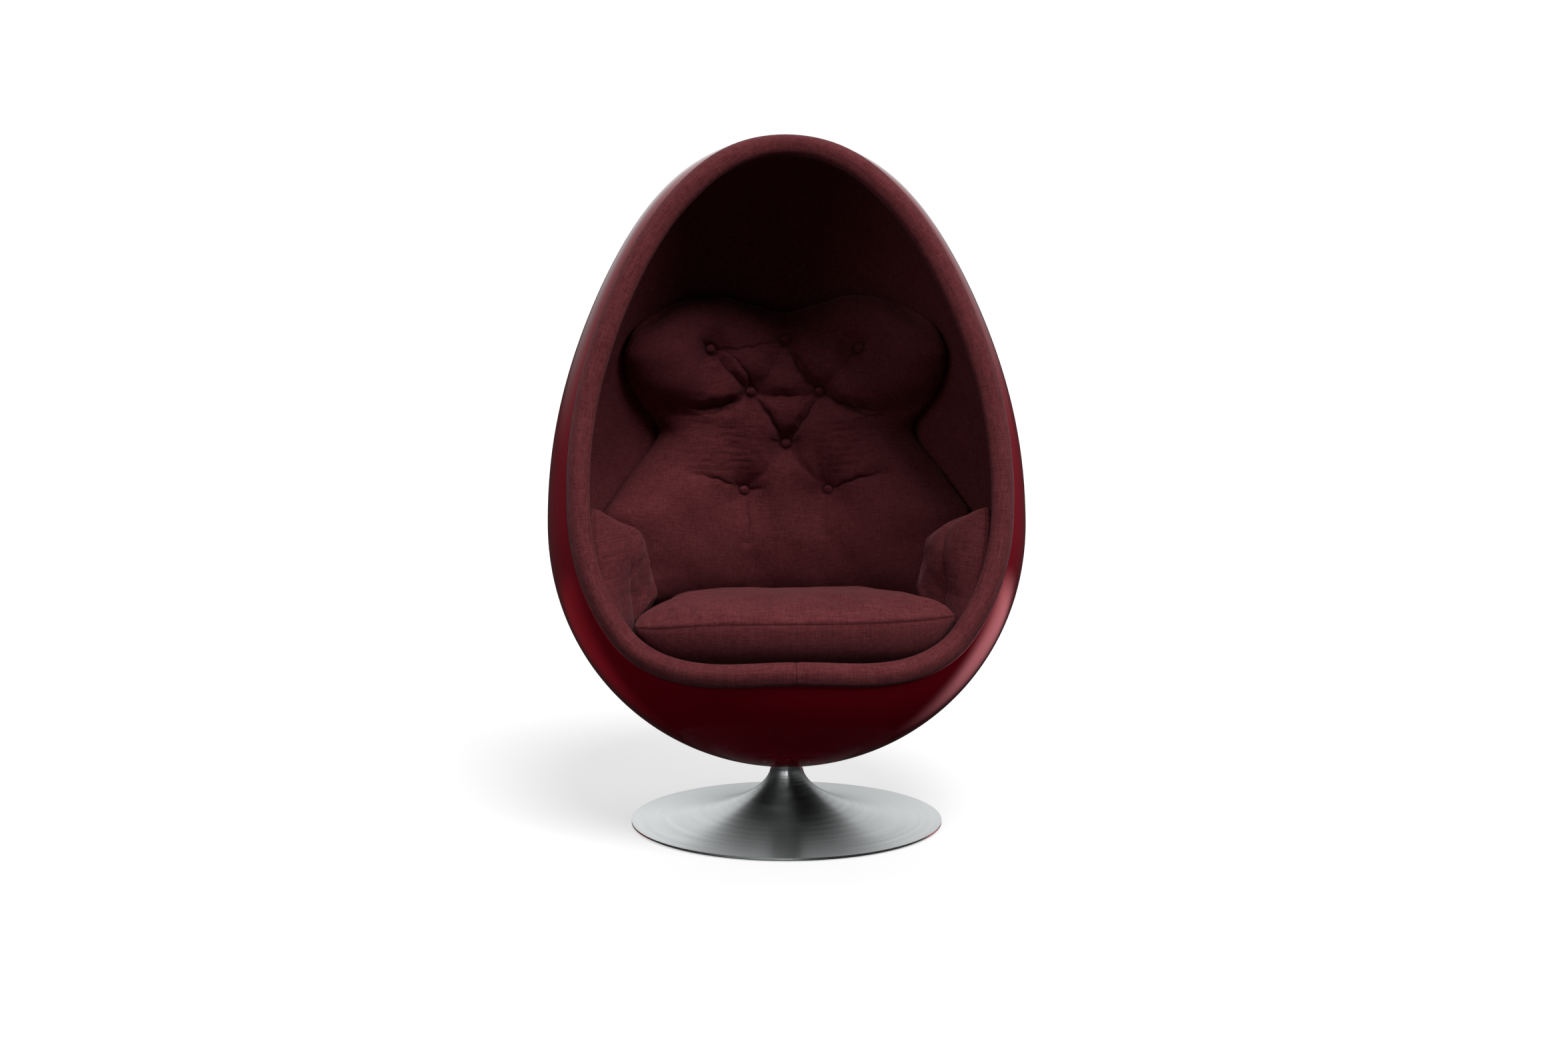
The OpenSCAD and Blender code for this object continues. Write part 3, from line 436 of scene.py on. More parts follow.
CAD_FINISHES = {
    "rubber": plain_material("pad_rubber", (0.03, 0.03, 0.03), 0.75),
    "black_steel": plain_material("primed_steel", (0.02, 0.02, 0.022), 0.5, 700),
    "satin_aluminium": brushed_material(),
    "nylon": plain_material("spacer_nylon", (0.78, 0.78, 0.74), 0.5),
    "zinc_steel": metal_material("zinc_steel", (0.62, 0.63, 0.6), 0.35, 150),
    "bronze": metal_material("bearing_bronze", (0.6, 0.42, 0.22), 0.4),
    "bright_steel": metal_material("turned_steel", (0.88, 0.88, 0.89), 0.3, 900),
}
slots = {s["node"]: s["material_slot"] for s in frame["record"]["subparts"]}
for node, part in frame["nodes"].items():
    if slots[node] in CAD_FINISHES:
        part.data.materials.clear()
        part.data.materials.append(CAD_FINISHES[slots[node]])


# Shell, lining and rim roll
RIM_COUNT, ROW_COUNT = 288, 110
SEAM_ANGLES = (math.radians(-67), math.radians(69.5))
LINING_SEAM_DEPTH, LINING_SEAM_WIDTH = 0.0028, 0.007
ROLL_POINTS, ROLL_BACK = 30, 6
ROLL_SQUARENESS = 0.75
# Each sheet of cloth takes its weave from a place of its own in the pattern
ROLL_WEAVE, BUTTON_WEAVE, BUTTON_WEAVE_STEP = 0.3, 0.9, 0.1
BACK_WEAVES, SEAT_WEAVES, ARM_WEAVES = (0.1, 0.6), (0.4, 0.8), {-1: (0.15, 0.7), 1: (0.25, 0.7)}
ROLL_SEAM_SHARE, ROLL_SEAM_WIDTH = 0.035, 0.006
skin, skin_normals = wall_grid(RIM_COUNT, ROW_COUNT)


def bowl_sheet(depth):
    """The wall's grid at a depth, with one point at its pole: its points, and faces for one side."""
    sheet = skin - skin_normals * (depth[..., None] if np.ndim(depth) else depth)
    return np.concatenate([sheet[0, :1], sheet[1:].reshape(-1, 3)])


def bowl_faces(start, flip):
    """A fan of triangles at the pole and the quads of the other rows."""
    k = (np.arange(RIM_COUNT) + 1) % RIM_COUNT
    fan = np.stack([np.zeros(RIM_COUNT, int), 1 + np.arange(RIM_COUNT), 1 + k], -1) + start
    fan = fan if flip else fan[:, ::-1]
    return tuples(fan) + ring_faces(ROW_COUNT, RIM_COUNT, flip, start + 1)


def bowl_piece(name, first_depth, second_depth, flip, material, slot, nodes, **layers):
    """A bowl between two depths in the wall, joined round its rim."""
    size = 1 + ROW_COUNT * RIM_COUNT
    i = size - RIM_COUNT + np.arange(RIM_COUNT)
    k = np.roll(i, -1)
    rim_faces = tuples(np.stack([i, k, size + k, size + i], -1))
    return add_piece(name, np.concatenate([bowl_sheet(first_depth), bowl_sheet(second_depth)]),
                     bowl_faces(0, flip) + bowl_faces(size, not flip) + rim_faces, material, slot, nodes,
                     **layers)


shell = bowl_piece("gloss_shell", 0, SHELL_WALL, True, gloss_material(), "shell_gloss", ["outer_shell"])
# The photograph shows next to nothing of the shell in the base, or of the base in the shell
shell.visible_glossy = False
frame["nodes"]["base_cover"].visible_glossy = False

# The lining's sewn seams run up both sides along lines of constant angle on the egg
skin_egg = to_egg(skin)
skin_az = np.arctan2(skin_egg[..., 0], skin_egg[..., 1])
side_seam = np.min([np.abs(skin_az - a) for a in SEAM_ANGLES], 0)
side_seam = side_seam * np.hypot(skin_egg[..., 0], skin_egg[..., 1])
lining_depth = WALL_DEPTH - LINING_SEAM_DEPTH * np.exp(-(side_seam / LINING_SEAM_WIDTH) ** 2)
lining_weave = np.stack([skin_az * LINING_RADIUS, skin_egg[..., 2], 0 * skin_az], -1)


def bowl_layer(values):
    """A value of the wall's grid for each point of a bowl's two sheets."""
    return np.concatenate([values[0, :1], values[1:].reshape((-1,) + values.shape[2:])] * 2)


lining = bowl_piece("padded_lining", lining_depth, SHELL_WALL + GLUE_GAP, False, cloth, "cloth", ["lining"],
                    weave=bowl_layer(lining_weave), seam=bowl_layer(side_seam))

# The rim roll's section, from the inner edge over the front to the outer edge and along its back
roll_half = (WALL_DEPTH + 2 * ROLL_PROUD) / 2
angle = np.linspace(0, math.pi, ROLL_POINTS)
roll_out = np.sign(np.cos(angle)) * np.abs(np.cos(angle)) ** ROLL_SQUARENESS
roll_out = ROLL_PROUD - roll_half + roll_half * roll_out
roll_ahead = ROLL_GAP + (ROLL_DEPTH - ROLL_GAP) * np.maximum(np.sin(angle), 0) ** ROLL_SQUARENESS
back_out = np.linspace(roll_out[-1], roll_out[0], ROLL_BACK + 2)[1:-1]
roll_out = np.concatenate([roll_out, back_out])
roll_ahead = np.concatenate([roll_ahead, np.full(ROLL_BACK, ROLL_GAP)])
rim, rim_normal = skin[-1], skin_normals[-1]
rim_ahead = unit(np.cross(np.roll(rim, -1, 0) - np.roll(rim, 1, 0), rim_normal))
step = np.linalg.norm(np.roll(rim, -1, 0) - rim, axis=1)
rim_length = np.concatenate([[0], np.cumsum(step)])[:-1]
roll_seam = np.abs(rim_length - rim_length[RIM_COUNT // 2])
squeeze = 1 - ROLL_SEAM_SHARE * np.exp(-(roll_seam / ROLL_SEAM_WIDTH) ** 2)
roll_points = (rim[:, None] + rim_normal[:, None] * roll_out[None, :, None]
               + rim_ahead[:, None] * (roll_ahead[None, :] * squeeze[:, None])[..., None])
section_length = np.concatenate([[0], np.cumsum(np.hypot(np.diff(roll_out), np.diff(roll_ahead)))])
roll_weave = np.stack(np.broadcast_arrays(rim_length[:, None], section_length[None, :], ROLL_WEAVE), -1)
roll = add_piece(
    "rim_roll_cloth", roll_points, ring_faces(RIM_COUNT, len(roll_out), closed=True), cloth, "cloth",
    ["rim_roll"], weave=roll_weave.reshape(-1, 3),
    seam=np.broadcast_to(roll_seam[:, None], roll_points.shape[:2]).ravel())


# Soft shapes
def ripple(x, y, wave, seed, count=9):
    """A smooth random surface of waves about a length, from about -1 to 1."""
    way = np.random.RandomState(seed)
    total = 0
    for _ in range(count):
        bearing, length, phase = way.uniform(0, 2 * math.pi), wave * way.uniform(0.7, 1.6), way.uniform(0, 7)
        total = total + np.sin(2 * math.pi * (x * math.cos(bearing) + y * math.sin(bearing)) / length + phase)
    return total / math.sqrt(count)


def bell(x):
    return np.exp(-x * x)


def pad_faces(rows, columns):
    """Which grid points a pad's back sheet has of its own, and the quads of both its sheets."""
    inner = np.zeros((rows, columns), bool)
    inner[1:-1, 1:-1] = True
    first = np.arange(rows * columns).reshape(rows, columns)
    second = first.copy()
    second[inner] = rows * columns + np.arange(inner.sum())

    def quads(k):
        return np.stack([k[:-1, :-1], k[:-1, 1:], k[1:, 1:], k[1:, :-1]], -1).reshape(-1, 4)

    return inner, tuples(np.concatenate([quads(first), quads(second)[:, ::-1]]))


def joined(front, back, inner):
    """The front sheet's values and those of the back sheet's own points, in one list."""
    return np.concatenate([front.reshape((-1,) + front.shape[2:]), back[inner]])


def closed_pad(name, front, back, node, plain, places, fold=None):
    """A cushion from a front and a back sheet that share their outline.

    Its weave follows the front's plain form and the back, from two places in the pattern. Fold is painted
    shade on the front, none if not given.
    """
    inner, faces = pad_faces(*front.shape[:2])
    seam = edge_distance(front)
    fold = 0 * seam if fold is None else fold
    weave = joined(weave_of(plain, places[0]), weave_of(back, places[1]), inner)
    piece = add_piece(name, joined(front, back, inner), faces, cloth, "cloth", [node], weave=weave,
                      seam=joined(seam, seam, inner), fold=joined(fold, 0 * fold, inner))


FINE = 3
FRAMES = 20
BROAD_REACH, SMALL_REACH = 4, 1
EDGE_CALM = 0.02


def softened(values, reach):
    """A grid's values, averaged over a reach in both directions, three times over."""
    for _ in range(3):
        for axis in (0, 1):
            padded = np.pad(values, [(reach, reach) if k == axis else (0, 0) for k in (0, 1)], mode="edge")
            total = np.cumsum(padded, axis)
            total = np.insert(total, 0, 0, axis)
            count = values.shape[axis]
            width = 2 * reach + 1
            values = (np.take(total, np.arange(width, width + count), axis)
                      - np.take(total, np.arange(count), axis)) / width
    return values


def sheet_normals(front, back):
    """Normals of the front sheet that point away from the back one."""
    n = unit(np.cross(np.gradient(front, axis=1), np.gradient(front, axis=0)))
    return n * np.sign(np.sum(n * (front - back)))


def simulated(name, front, back, held, calm=1.0, slack=0.06, cap=0.005):
    """The front sheet with the wrinkles that a cloth simulation gives its cover.

    A copy of the pad is blown up with some spare cloth and is held at the buttons and along its back.
    Its wrinkles are added to the sheet, without the broad swelling and no higher than the cap, and
    less where calm is below 1.
    """
    near, far = front[::FINE, ::FINE], back[::FINE, ::FINE]
    inner, faces = pad_faces(*near.shape[:2])
    mesh = bpy.data.meshes.new(name)
    mesh.from_pydata(joined(near, far, inner).tolist(), [], faces)
    copy = bpy.data.objects.new(name, mesh)
    scene.collection.objects.link(copy)
    group = copy.vertex_groups.new(name="held")
    for k, weight in enumerate(joined(held[::FINE, ::FINE], np.ones_like(near[..., 0]), inner)):
        group.add([k], float(weight), "REPLACE")
    modifier = copy.modifiers.new("cloth", "CLOTH")
    settings = modifier.settings
    settings.quality, settings.mass = 5, 0.3
    settings.tension_stiffness = settings.compression_stiffness = 15
    settings.shear_stiffness, settings.bending_stiffness = 5, 0.3
    settings.use_pressure, settings.uniform_pressure_force = True, 4
    settings.vertex_group_mass = "held"
    settings.shrink_min = -slack
    settings.effector_weights.gravity = 0
    modifier.collision_settings.use_collision = False
    modifier.point_cache.frame_start, modifier.point_cache.frame_end = 1, FRAMES
    for moment in range(1, FRAMES + 1):
        scene.frame_set(moment)
    result = copy.evaluated_get(bpy.context.evaluated_depsgraph_get()).to_mesh()
    places = np.empty(len(result.vertices) * 3, np.float32)
    result.vertices.foreach_get("co", places)
    count = near[..., 0].size
    moved = places.reshape(-1, 3)[:count].reshape(near.shape) - near
    bpy.data.objects.remove(copy, do_unlink=True)
    bpy.data.meshes.remove(mesh)
    scene.frame_set(1)
    lift = np.sum(moved * sheet_normals(near, far), -1)
    lift = lift - softened(lift, BROAD_REACH)
    lift = cap * np.tanh(lift / cap)
    for axis in (0, 1):
        count = lift.shape[axis]
        k = np.linspace(0, count - 1, FINE * (count - 1) + 1)
        low = np.minimum(k.astype(int), count - 2)
        share = (k - low)[:, None] if axis == 0 else (k - low)[None]
        lift = np.take(lift, low, axis) * (1 - share) + np.take(lift, low + 1, axis) * share
    lift = softened(lift, SMALL_REACH) * np.clip(edge_distance(front) / EDGE_CALM, 0, 1) * calm
    return front + sheet_normals(front, back) * lift[..., None]


def edge_distance(points):
    """For a grid of points, metres to its outline, measured along rows and columns."""
    across, along = lengths(points, 1), lengths(points, 0)
    return np.minimum(np.minimum(across, across[:, -1:] - across), np.minimum(along, along[-1:] - along))


def weave_of(points, offset):
    """Weave coordinates for a grid of points: metres from its middle, and a place in the pattern."""
    across, along = lengths(points, 1), lengths(points, 0)
    rows, columns = across.shape
    return np.stack([across - across[:, columns // 2, None], along - along[rows // 2],
                     np.full_like(across, offset)], -1)


# The back cushion
back_outline = smooth_table([(-0.2, 0.74), (0, 0.94), (0.15, 1.08), (0.31, 1.16), (0.46, 1), (0.575, 0.85),
                             (0.63, 0.8), (0.67, 0.84), (0.72, 0.93), (0.78, 0.985), (0.86, 1), (0.95, 0.93),
                             (1, 0.8), (1.1, 0.5)], 0.018)
back_top = smooth_table([(-0.3, 0.985), (0, 0.955), (0.2, 0.98), (0.42, 1.005), (0.7, 0.98), (0.9, 0.935),
                         (1, 0.908), (1.1, 0.88)], 0.05)
BACK_DEPTH = WALL_DEPTH + BACK_GAP + BACK_THICKNESS / 2
SPOTS = np.array([(u * BACK_HALF_WIDTH, w * BACK_LENGTH - BACK_START) for u, w in (
    (-0.48, 0.858), (0, 0.892), (0.48, 0.858), (-0.236, 0.732), (0.236, 0.732), (0, 0.558),
    (-0.296, 0.392), (0.296, 0.392))])
# How far a pleat wavers from its line, over which length, and how it fades past its ends
PLEAT_WAVER, WAVER_LENGTH, PLEAT_FADE = 0.0012, 0.037, 0.012
VALLEY_WIDTH, STEEP_WIDTH, GENTLE_WIDTH = 0.017, 0.0026, 0.0085
# The crease's depth and rounding, and the width of its line of painted shade
CREASE_DEPTH, CREASE_ROUND, CREASE_SHADE_WIDTH = 0.0066, 0.0007, 0.0028
PAST_END_SHARE, CREASE_START_SHARE, CREASE_RUN_SHARE = 0.25, 0.12, 0.8
# Tufts: shares and widths of their wide and narrow hollows, and the creases that ray out from them
WIDE_SHARE, NARROW_SHARE = 0.62, 0.38
UPPER_HOLLOW, LOWER_HOLLOW, LOWER_BUTTONS = (0.04, 0.014), (0.058, 0.019), (6, 7)
STAR_DEPTH, STAR_REACH, STAR_WIDTH = 0.0042, 0.022, 0.016
MANY_RAYS, FEW_RAYS, FEW_RAYS_SHARE = 5, 3, 0.4
# The waist below the lobes: its hollows at both sides and its fine creases
WAIST_OUT, WAIST_RISE, WAIST_WIDTH, WAIST_HEIGHT, WAIST_DEPTH = 0.268, 0.262, 0.066, 0.036, 0.07
WAIST_CREASE, WAIST_CREASE_RISE, WAIST_CREASE_HEIGHT, WAIST_CREASE_REACH = 0.0012, 0.22, 0.07, 0.12
WAIST_WAVE, WAIST_WAVE_SQUASH, WAIST_WAVE_TOP = 0.055, 3.2, 0.3
JOIN_POWER = 2.6
DRAW_SPARE, DRAW_MORE, DRAW_NEAR, DRAW_FAR, CREASE_END = 0.001, 0.04, 0.03, 0.08, 0.012
BUTTON_SHADE, BUTTON_SHADE_WIDTH = 0.75, 0.004
LUMP_HEIGHT, LUMP_LENGTH = 0.002, 0.12
# The simulated wrinkles are full near the buttons, and calm away from them and at the lowest two
HELD_REACH, FULL_REACH, CALM_REACH, LOWER_REACH = 0.013, 0.03, 0.04, 0.08
CALM_LEAST, LOWER_CALM = 0.25, 0.75
# Pleats between the buttons and out to the sides: both ends, depths of the valley at them and
# between, bend, and strength of the crease along it
PLEATS = (
    (SPOTS[0], SPOTS[1], 0.014, 0.006, 0.004, 0.8), (SPOTS[0], SPOTS[3], 0.02, 0.014, -0.008, 1.1),
    (SPOTS[0] + (0.03, 0.0), SPOTS[3] + (0.004, 0.01), 0.004, 0.006, 0.006, 1.0),
    (SPOTS[1], SPOTS[3], 0.014, 0.006, 0.003, 0.6), (SPOTS[1], SPOTS[4], 0.02, 0.014, -0.006, 1.2),
    (SPOTS[2], SPOTS[4], 0.012, 0.006, 0.004, 0.6), (SPOTS[3], SPOTS[4], 0.018, 0.012, -0.006, 1.1),
    (SPOTS[3], SPOTS[5], 0.014, 0.01, 0.004, 1.0), (SPOTS[4], SPOTS[5], 0.016, 0.011, 0.004, 1.1),
    (SPOTS[5], SPOTS[6], 0.012, 0.004, 0.004, 0.4), (SPOTS[5], SPOTS[7], 0.012, 0.005, -0.003, 0.6),
    (SPOTS[3], (-0.215, 0.276), 0.016, 0.018, 0.006, 1.1),
    (SPOTS[4], (0.222, 0.268), 0.016, 0.018, -0.006, 1.1),
    (SPOTS[3] + (-0.03, -0.02), (-0.215, 0.262), 0.001, 0.008, 0.005, 0.8),
    (SPOTS[4] + (0.04, -0.02), (0.222, 0.252), 0.001, 0.008, -0.005, 0.8),
    (SPOTS[6], (-0.215, 0.1415), 0.006, 0.003, -0.004, 0.8),
    (SPOTS[7], (0.222, 0.138), 0.010, 0.005, 0.004, 1.2),
    (SPOTS[6] + (0.004, 0), (-0.09, -0.02), 0.004, 0.003, 0.002, 0.6),
    (SPOTS[7] + (-0.002, 0), (0.088, 0.0), 0.004, 0.002, 0.002, 0.25),
)


def pleat(p, ends, seed):
    """A sewn-in fold: the depths of its broad valley and its sharp crease, and how much painted shade darkens
    the crease.
    """
    a, b, deep, mid, bend, crease = ends
    a, b = np.asarray(a, float), np.asarray(b, float)
    way = b - a
    length = np.hypot(*way)
    way = way / length
    t = np.clip(((p - a) @ way) / length, -PAST_END_SHARE, 1 + PAST_END_SHARE)
    inside = np.clip(t, 0, 1)
    side = (p - a) @ np.array([-way[1], way[0]]) - bend * np.sin(math.pi * inside)
    side = side + PLEAT_WAVER * np.sin(2 * math.pi * inside * length / WAVER_LENGTH + seed)
    fade = bell(np.abs(t - inside) * length / PLEAT_FADE)
    valley = (mid + (deep - mid) * np.abs(1 - 2 * inside) ** 2) * bell(side / VALLEY_WIDTH)
    steep = np.where(side * (1 if bend >= 0 else -1) > 0, STEEP_WIDTH, GENTLE_WIDTH)
    middle = np.sin(math.pi * (CREASE_START_SHARE + CREASE_RUN_SHARE * inside))
    sharp = CREASE_DEPTH * crease * np.exp(-np.hypot(side, CREASE_ROUND) / steep) * middle
    return valley * fade, sharp * fade, crease * middle * bell(side / CREASE_SHADE_WIDTH) * fade


def spot_distances(p):
    return [np.linalg.norm(p - spot, axis=-1) for spot in SPOTS]


def back_draw(p):
    """How far buttons and folds draw the back cushion's face in, and how much painted shade darkens their
    creases and the buttons' edges.
    """
    tufts = folds = creases = lines = np.zeros(p.shape[:-1])
    distances = spot_distances(p)
    for k, (spot, d) in enumerate(zip(SPOTS, distances)):
        turn = np.arctan2(p[..., 1] - spot[1], p[..., 0] - spot[0])
        many, few = np.cos(turn * (MANY_RAYS + k % 3) + k), np.cos(turn * FEW_RAYS + 2 * k)
        rays = np.maximum(0, many * (1 - FEW_RAYS_SHARE) + few * FEW_RAYS_SHARE)
        star = STAR_DEPTH * rays**3 * bell((d - STAR_REACH) / STAR_WIDTH)
        wide, narrow = LOWER_HOLLOW if k in LOWER_BUTTONS else UPPER_HOLLOW
        past = np.maximum(0, d - BUTTON_RADIUS)
        hollow = WIDE_SHARE * bell(d / wide) + NARROW_SHARE * np.exp(-past / narrow)
        tufts = np.maximum(tufts, TUFT_DEPTH * hollow + star)
    for k, ends in enumerate(PLEATS):
        valley, sharp, line = pleat(p, ends, k)
        folds, creases = np.maximum(folds, valley), np.maximum(creases, sharp)
        lines = np.maximum(lines, line)
    for side in (-1, 1):
        away = np.hypot((p[..., 0] - side * WAIST_OUT) / WAIST_WIDTH, (p[..., 1] - WAIST_RISE) / WAIST_HEIGHT)
        folds = np.maximum(folds, WAIST_DEPTH * bell(away))
    near = np.min(distances, 0)
    # Near the buttons nothing is drawn in deeper than they are, and creases end at their edges
    limit = TUFT_DEPTH + DRAW_SPARE + DRAW_MORE * np.clip((near - DRAW_NEAR) / DRAW_FAR, 0, 1)
    near_button = np.clip((near - BUTTON_RADIUS) / CREASE_END, 0, 1)
    draw = (tufts**JOIN_POWER + folds**JOIN_POWER) ** (1 / JOIN_POWER)
    draw = np.minimum(draw, limit) + creases * near_button
    # Painted shade in a ring round each button's edge, added to the creases' painted shade
    button_edge_shade = bell(np.maximum(0, near - BUTTON_RADIUS) / BUTTON_SHADE_WIDTH)
    return draw, np.minimum(1, lines * near_button + BUTTON_SHADE * button_edge_shade)


def back_angles(u, v):
    """Angles from the cushion's middle, and distances along the egg's axis, for shares from -1 to 1."""
    w = (v + 1) / 2
    s = BACK_LENGTH * back_top(np.abs(u)) * w - BACK_START
    room = egg_round(s) - WALL_DEPTH - SEAM_DEPTH
    return u * np.arcsin(np.minimum(1, BACK_HALF_WIDTH * back_outline(w) / room)), s


def back_places(u, v):
    """The back cushion's sideways and upward places."""
    az, s = back_angles(u, v)
    return np.stack([(egg_round(s) - BACK_DEPTH) * np.sin(az), s], -1)


def back_surface(u, v, front, folds=True):
    """The back cushion's front or rear sheet."""
    az, s = back_angles(u, v)
    if not front:
        depth = WALL_DEPTH + BACK_GAP + SEAM_DEPTH * (1 - crown(u, v, REAR_FULLNESS))
        return wall_at(BACK_TURN + az, s, depth)
    p = back_places(u, v)
    lumps = LUMP_HEIGHT * ripple(p[..., 0], p[..., 1], LUMP_LENGTH, 3)
    creased = ripple(p[..., 0], p[..., 1] * WAIST_WAVE_SQUASH, WAIST_WAVE, 5)
    creased = np.minimum(creased, WAIST_WAVE_TOP)
    waist = bell((s - WAIST_CREASE_RISE) / WAIST_CREASE_HEIGHT)
    waist = WAIST_CREASE * waist * np.minimum(1, (p[..., 0] / WAIST_CREASE_REACH) ** 2) * creased
    drawn = back_draw(p)[0] - lumps - waist if folds else 0
    swell = SEAM_DEPTH + (BACK_THICKNESS - SEAM_DEPTH - drawn) * crown(u, v, BACK_FULLNESS)
    return wall_at(BACK_TURN + az, s, WALL_DEPTH + BACK_GAP + swell)


back_u, back_v = np.meshgrid(spread(90 * FINE + 1), spread(100 * FINE + 1))
back_front, back_rear = back_surface(back_u, back_v, True), back_surface(back_u, back_v, False)
back_grid = back_places(back_u, back_v)
button_ways = spot_distances(back_grid)
button_way = np.min(button_ways, 0)
calm = CALM_LEAST + (1 - CALM_LEAST) * bell(np.maximum(0, button_way - FULL_REACH) / CALM_REACH)
calm = calm * (1 - LOWER_CALM * np.maximum(*(bell(button_ways[k] / LOWER_REACH) for k in LOWER_BUTTONS)))
back_front = simulated("back_cover", back_front, back_rear, (button_way < HELD_REACH).astype(float), calm)
back_plain = back_surface(back_u, back_v, True, False)
# The back cushion's fold layer is painted shade along its creases and round its buttons
closed_pad("back_pad", back_front, back_rear, "back_cushion", back_plain, BACK_WEAVES,
           back_draw(back_grid)[1])


# Arm cushions
ARM_SOFTNESS, ARM_NEAR, ARM_DEEP, ARM_FLARE = 0.006, 0.06, 0.08, 0.35
ARM_LUMP_HEIGHT, ARM_LUMP_LENGTH, ARM_LUMP_SEEDS = 0.0016, 0.07, {-1: 17, 1: 11}
ARM_WIDTH, ARM_HEIGHT = 0.2, 0.12
TUFT_WIDE_SHARE, TUFT_WIDE, TUFT_NARROW, TUFT_ROUND, ARM_HELD_REACH = 0.6, 0.3, 0.08, 0.02, 0.08
# Depths and widths of the sewn edge's sharp and soft parts, and of the small fold beside it
SHARP_EDGE, SOFT_EDGE, SMALL_FOLD = (0.013, 0.06), (0.009, 0.2), (0.0025, 0.05)
SMALL_FOLD_AWAY, SMALL_FOLD_SLANT, SMALL_FOLD_RISE, SMALL_FOLD_REACH = 0.22, 0.2, 0.35, 0.5
ARM_FULLNESS, ARM_FOOT_FULLNESS, ARM_TOP_FULLNESS = 4, 12, 4.5
# Where the cover's sewn edge runs between the inner face and the front panel, from the foot up
ARM_EDGE_RISES, ARM_EDGE_SHARES = [-1, -0.45, -0.1, 0.3, 0.9], [0.42, 0.56, 0.7, 0.74, 0.7]


def arm_low(az):
    """The distance along the axis of an arm cushion's lower edge, which is level."""
    s = np.zeros(np.shape(az))
    for _ in range(ROUNDS):
        s = ((SEAT_LOW - ARM_SINK - EGG_Z + egg_round(s) * np.cos(az) * math.sin(EGG_LEAN))
             / math.cos(EGG_LEAN))
    return s


def arm_angles(u, v):
    """Angles from the back, and distances along the egg's axis, for shares from -1 to 1."""
    az = ARM_START + ARM_SWEEP * (u + 1) / 2
    return az, ARM_RISE - (ARM_RISE - arm_low(az)) * (1 - v) / 2


def arm_fill(u, v):
    """How full an arm cushion is: rounder at its upper edge than at its foot."""
    rise = np.where(v < 0, ARM_FOOT_FULLNESS, ARM_TOP_FULLNESS)
    return crown(u, v, (ARM_FULLNESS, rise))


def arm_room(az, s):
    """Depth from the lining to the plane at which an arm cushion's inner face clears the seat."""
    p, n = wall_at(az, s, WALL_DEPTH + ARM_GAP), wall_normal(az, s)
    side = (SEAT_WAIST + ARM_SIDE_GAP
            + ARM_FLARE * np.maximum(0, -p[..., 1] - ARM_NEAR) * np.clip((-s - ARM_DEEP) / 0.1, 0, 1))
    return (p[..., 0] - side) / n[..., 0]


def arm_surface(u, v, front, side, folds=True):
    """An arm cushion's inner sheet (front) or the one that lies on the lining."""
    az, s = arm_angles(u, v)
    if not front:
        depth = WALL_DEPTH + ARM_GAP + SEAM_DEPTH * (1 - crown(u, v, REAR_FULLNESS))
        return wall_at(az, s, depth) * np.array([side, 1, 1])
    room = arm_room(az, s)
    thick = ARM_THICKNESS - np.logaddexp(0, (ARM_THICKNESS - room) / ARM_SOFTNESS) * ARM_SOFTNESS
    away = np.hypot(u - ARM_BUTTON[0], v - ARM_BUTTON[1])
    way = u - np.interp(v, ARM_EDGE_RISES, ARM_EDGE_SHARES)
    fold = SHARP_EDGE[0] * np.exp(-np.abs(way) / SHARP_EDGE[1]) + SOFT_EDGE[0] * bell(way / SOFT_EDGE[1])
    beside = np.exp(-np.abs(way + SMALL_FOLD_AWAY + SMALL_FOLD_SLANT * v) / SMALL_FOLD[1])
    fold = fold + SMALL_FOLD[0] * beside * bell((v - SMALL_FOLD_RISE) / SMALL_FOLD_REACH)
    lumps = ripple(u * ARM_WIDTH, v * ARM_HEIGHT, ARM_LUMP_LENGTH, ARM_LUMP_SEEDS[side])
    lumps = ARM_LUMP_HEIGHT * lumps
    narrow = np.exp((TUFT_ROUND - np.hypot(away, TUFT_ROUND)) / TUFT_NARROW)
    tuft = ARM_TUFT * (TUFT_WIDE_SHARE * bell(away / TUFT_WIDE) + (1 - TUFT_WIDE_SHARE) * narrow)
    swell = SEAM_DEPTH + (thick - SEAM_DEPTH - (fold - lumps if folds else 0)) * arm_fill(u, v)
    swell = swell - (tuft if folds else 0)
    return wall_at(az, s, WALL_DEPTH + ARM_GAP + swell) * np.array([side, 1, 1])


arm_u, arm_v = np.meshgrid(spread(60 * FINE + 1), spread(60 * FINE + 1))
arm_held = (np.hypot(arm_u - ARM_BUTTON[0], arm_v - ARM_BUTTON[1]) < ARM_HELD_REACH).astype(float)
for side, word in ((-1, "left"), (1, "right")):
    arm_front, arm_rear = (arm_surface(arm_u, arm_v, front, side) for front in (True, False))
    arm_front = simulated(f"arm_cover_{word}", arm_front, arm_rear, arm_held, slack=0.025, cap=0.0015)
    arm_plain = arm_surface(arm_u, arm_v, True, side, False)
    if side < 0:
        arm_front, arm_rear, arm_plain = arm_front[:, ::-1], arm_rear[:, ::-1], arm_plain[:, ::-1]
    closed_pad(f"arm_pad_{word}", arm_front, arm_rear, f"arm_cushion_{word}", arm_plain, ARM_WEAVES[side])


# The seat
SEAT_TOP_FULLNESS, SEAT_UNDER_FULLNESS = (5.5, 3), (7.5, 8)
SEAT_CORNER_SHARE, SEAT_DROOP, SEAT_DROOP_IN_SHARE = 0.24, 0.017, 0.6
SEAT_DROOP_WIDTH, SEAT_DROOP_LENGTH = 0.35, 0.7
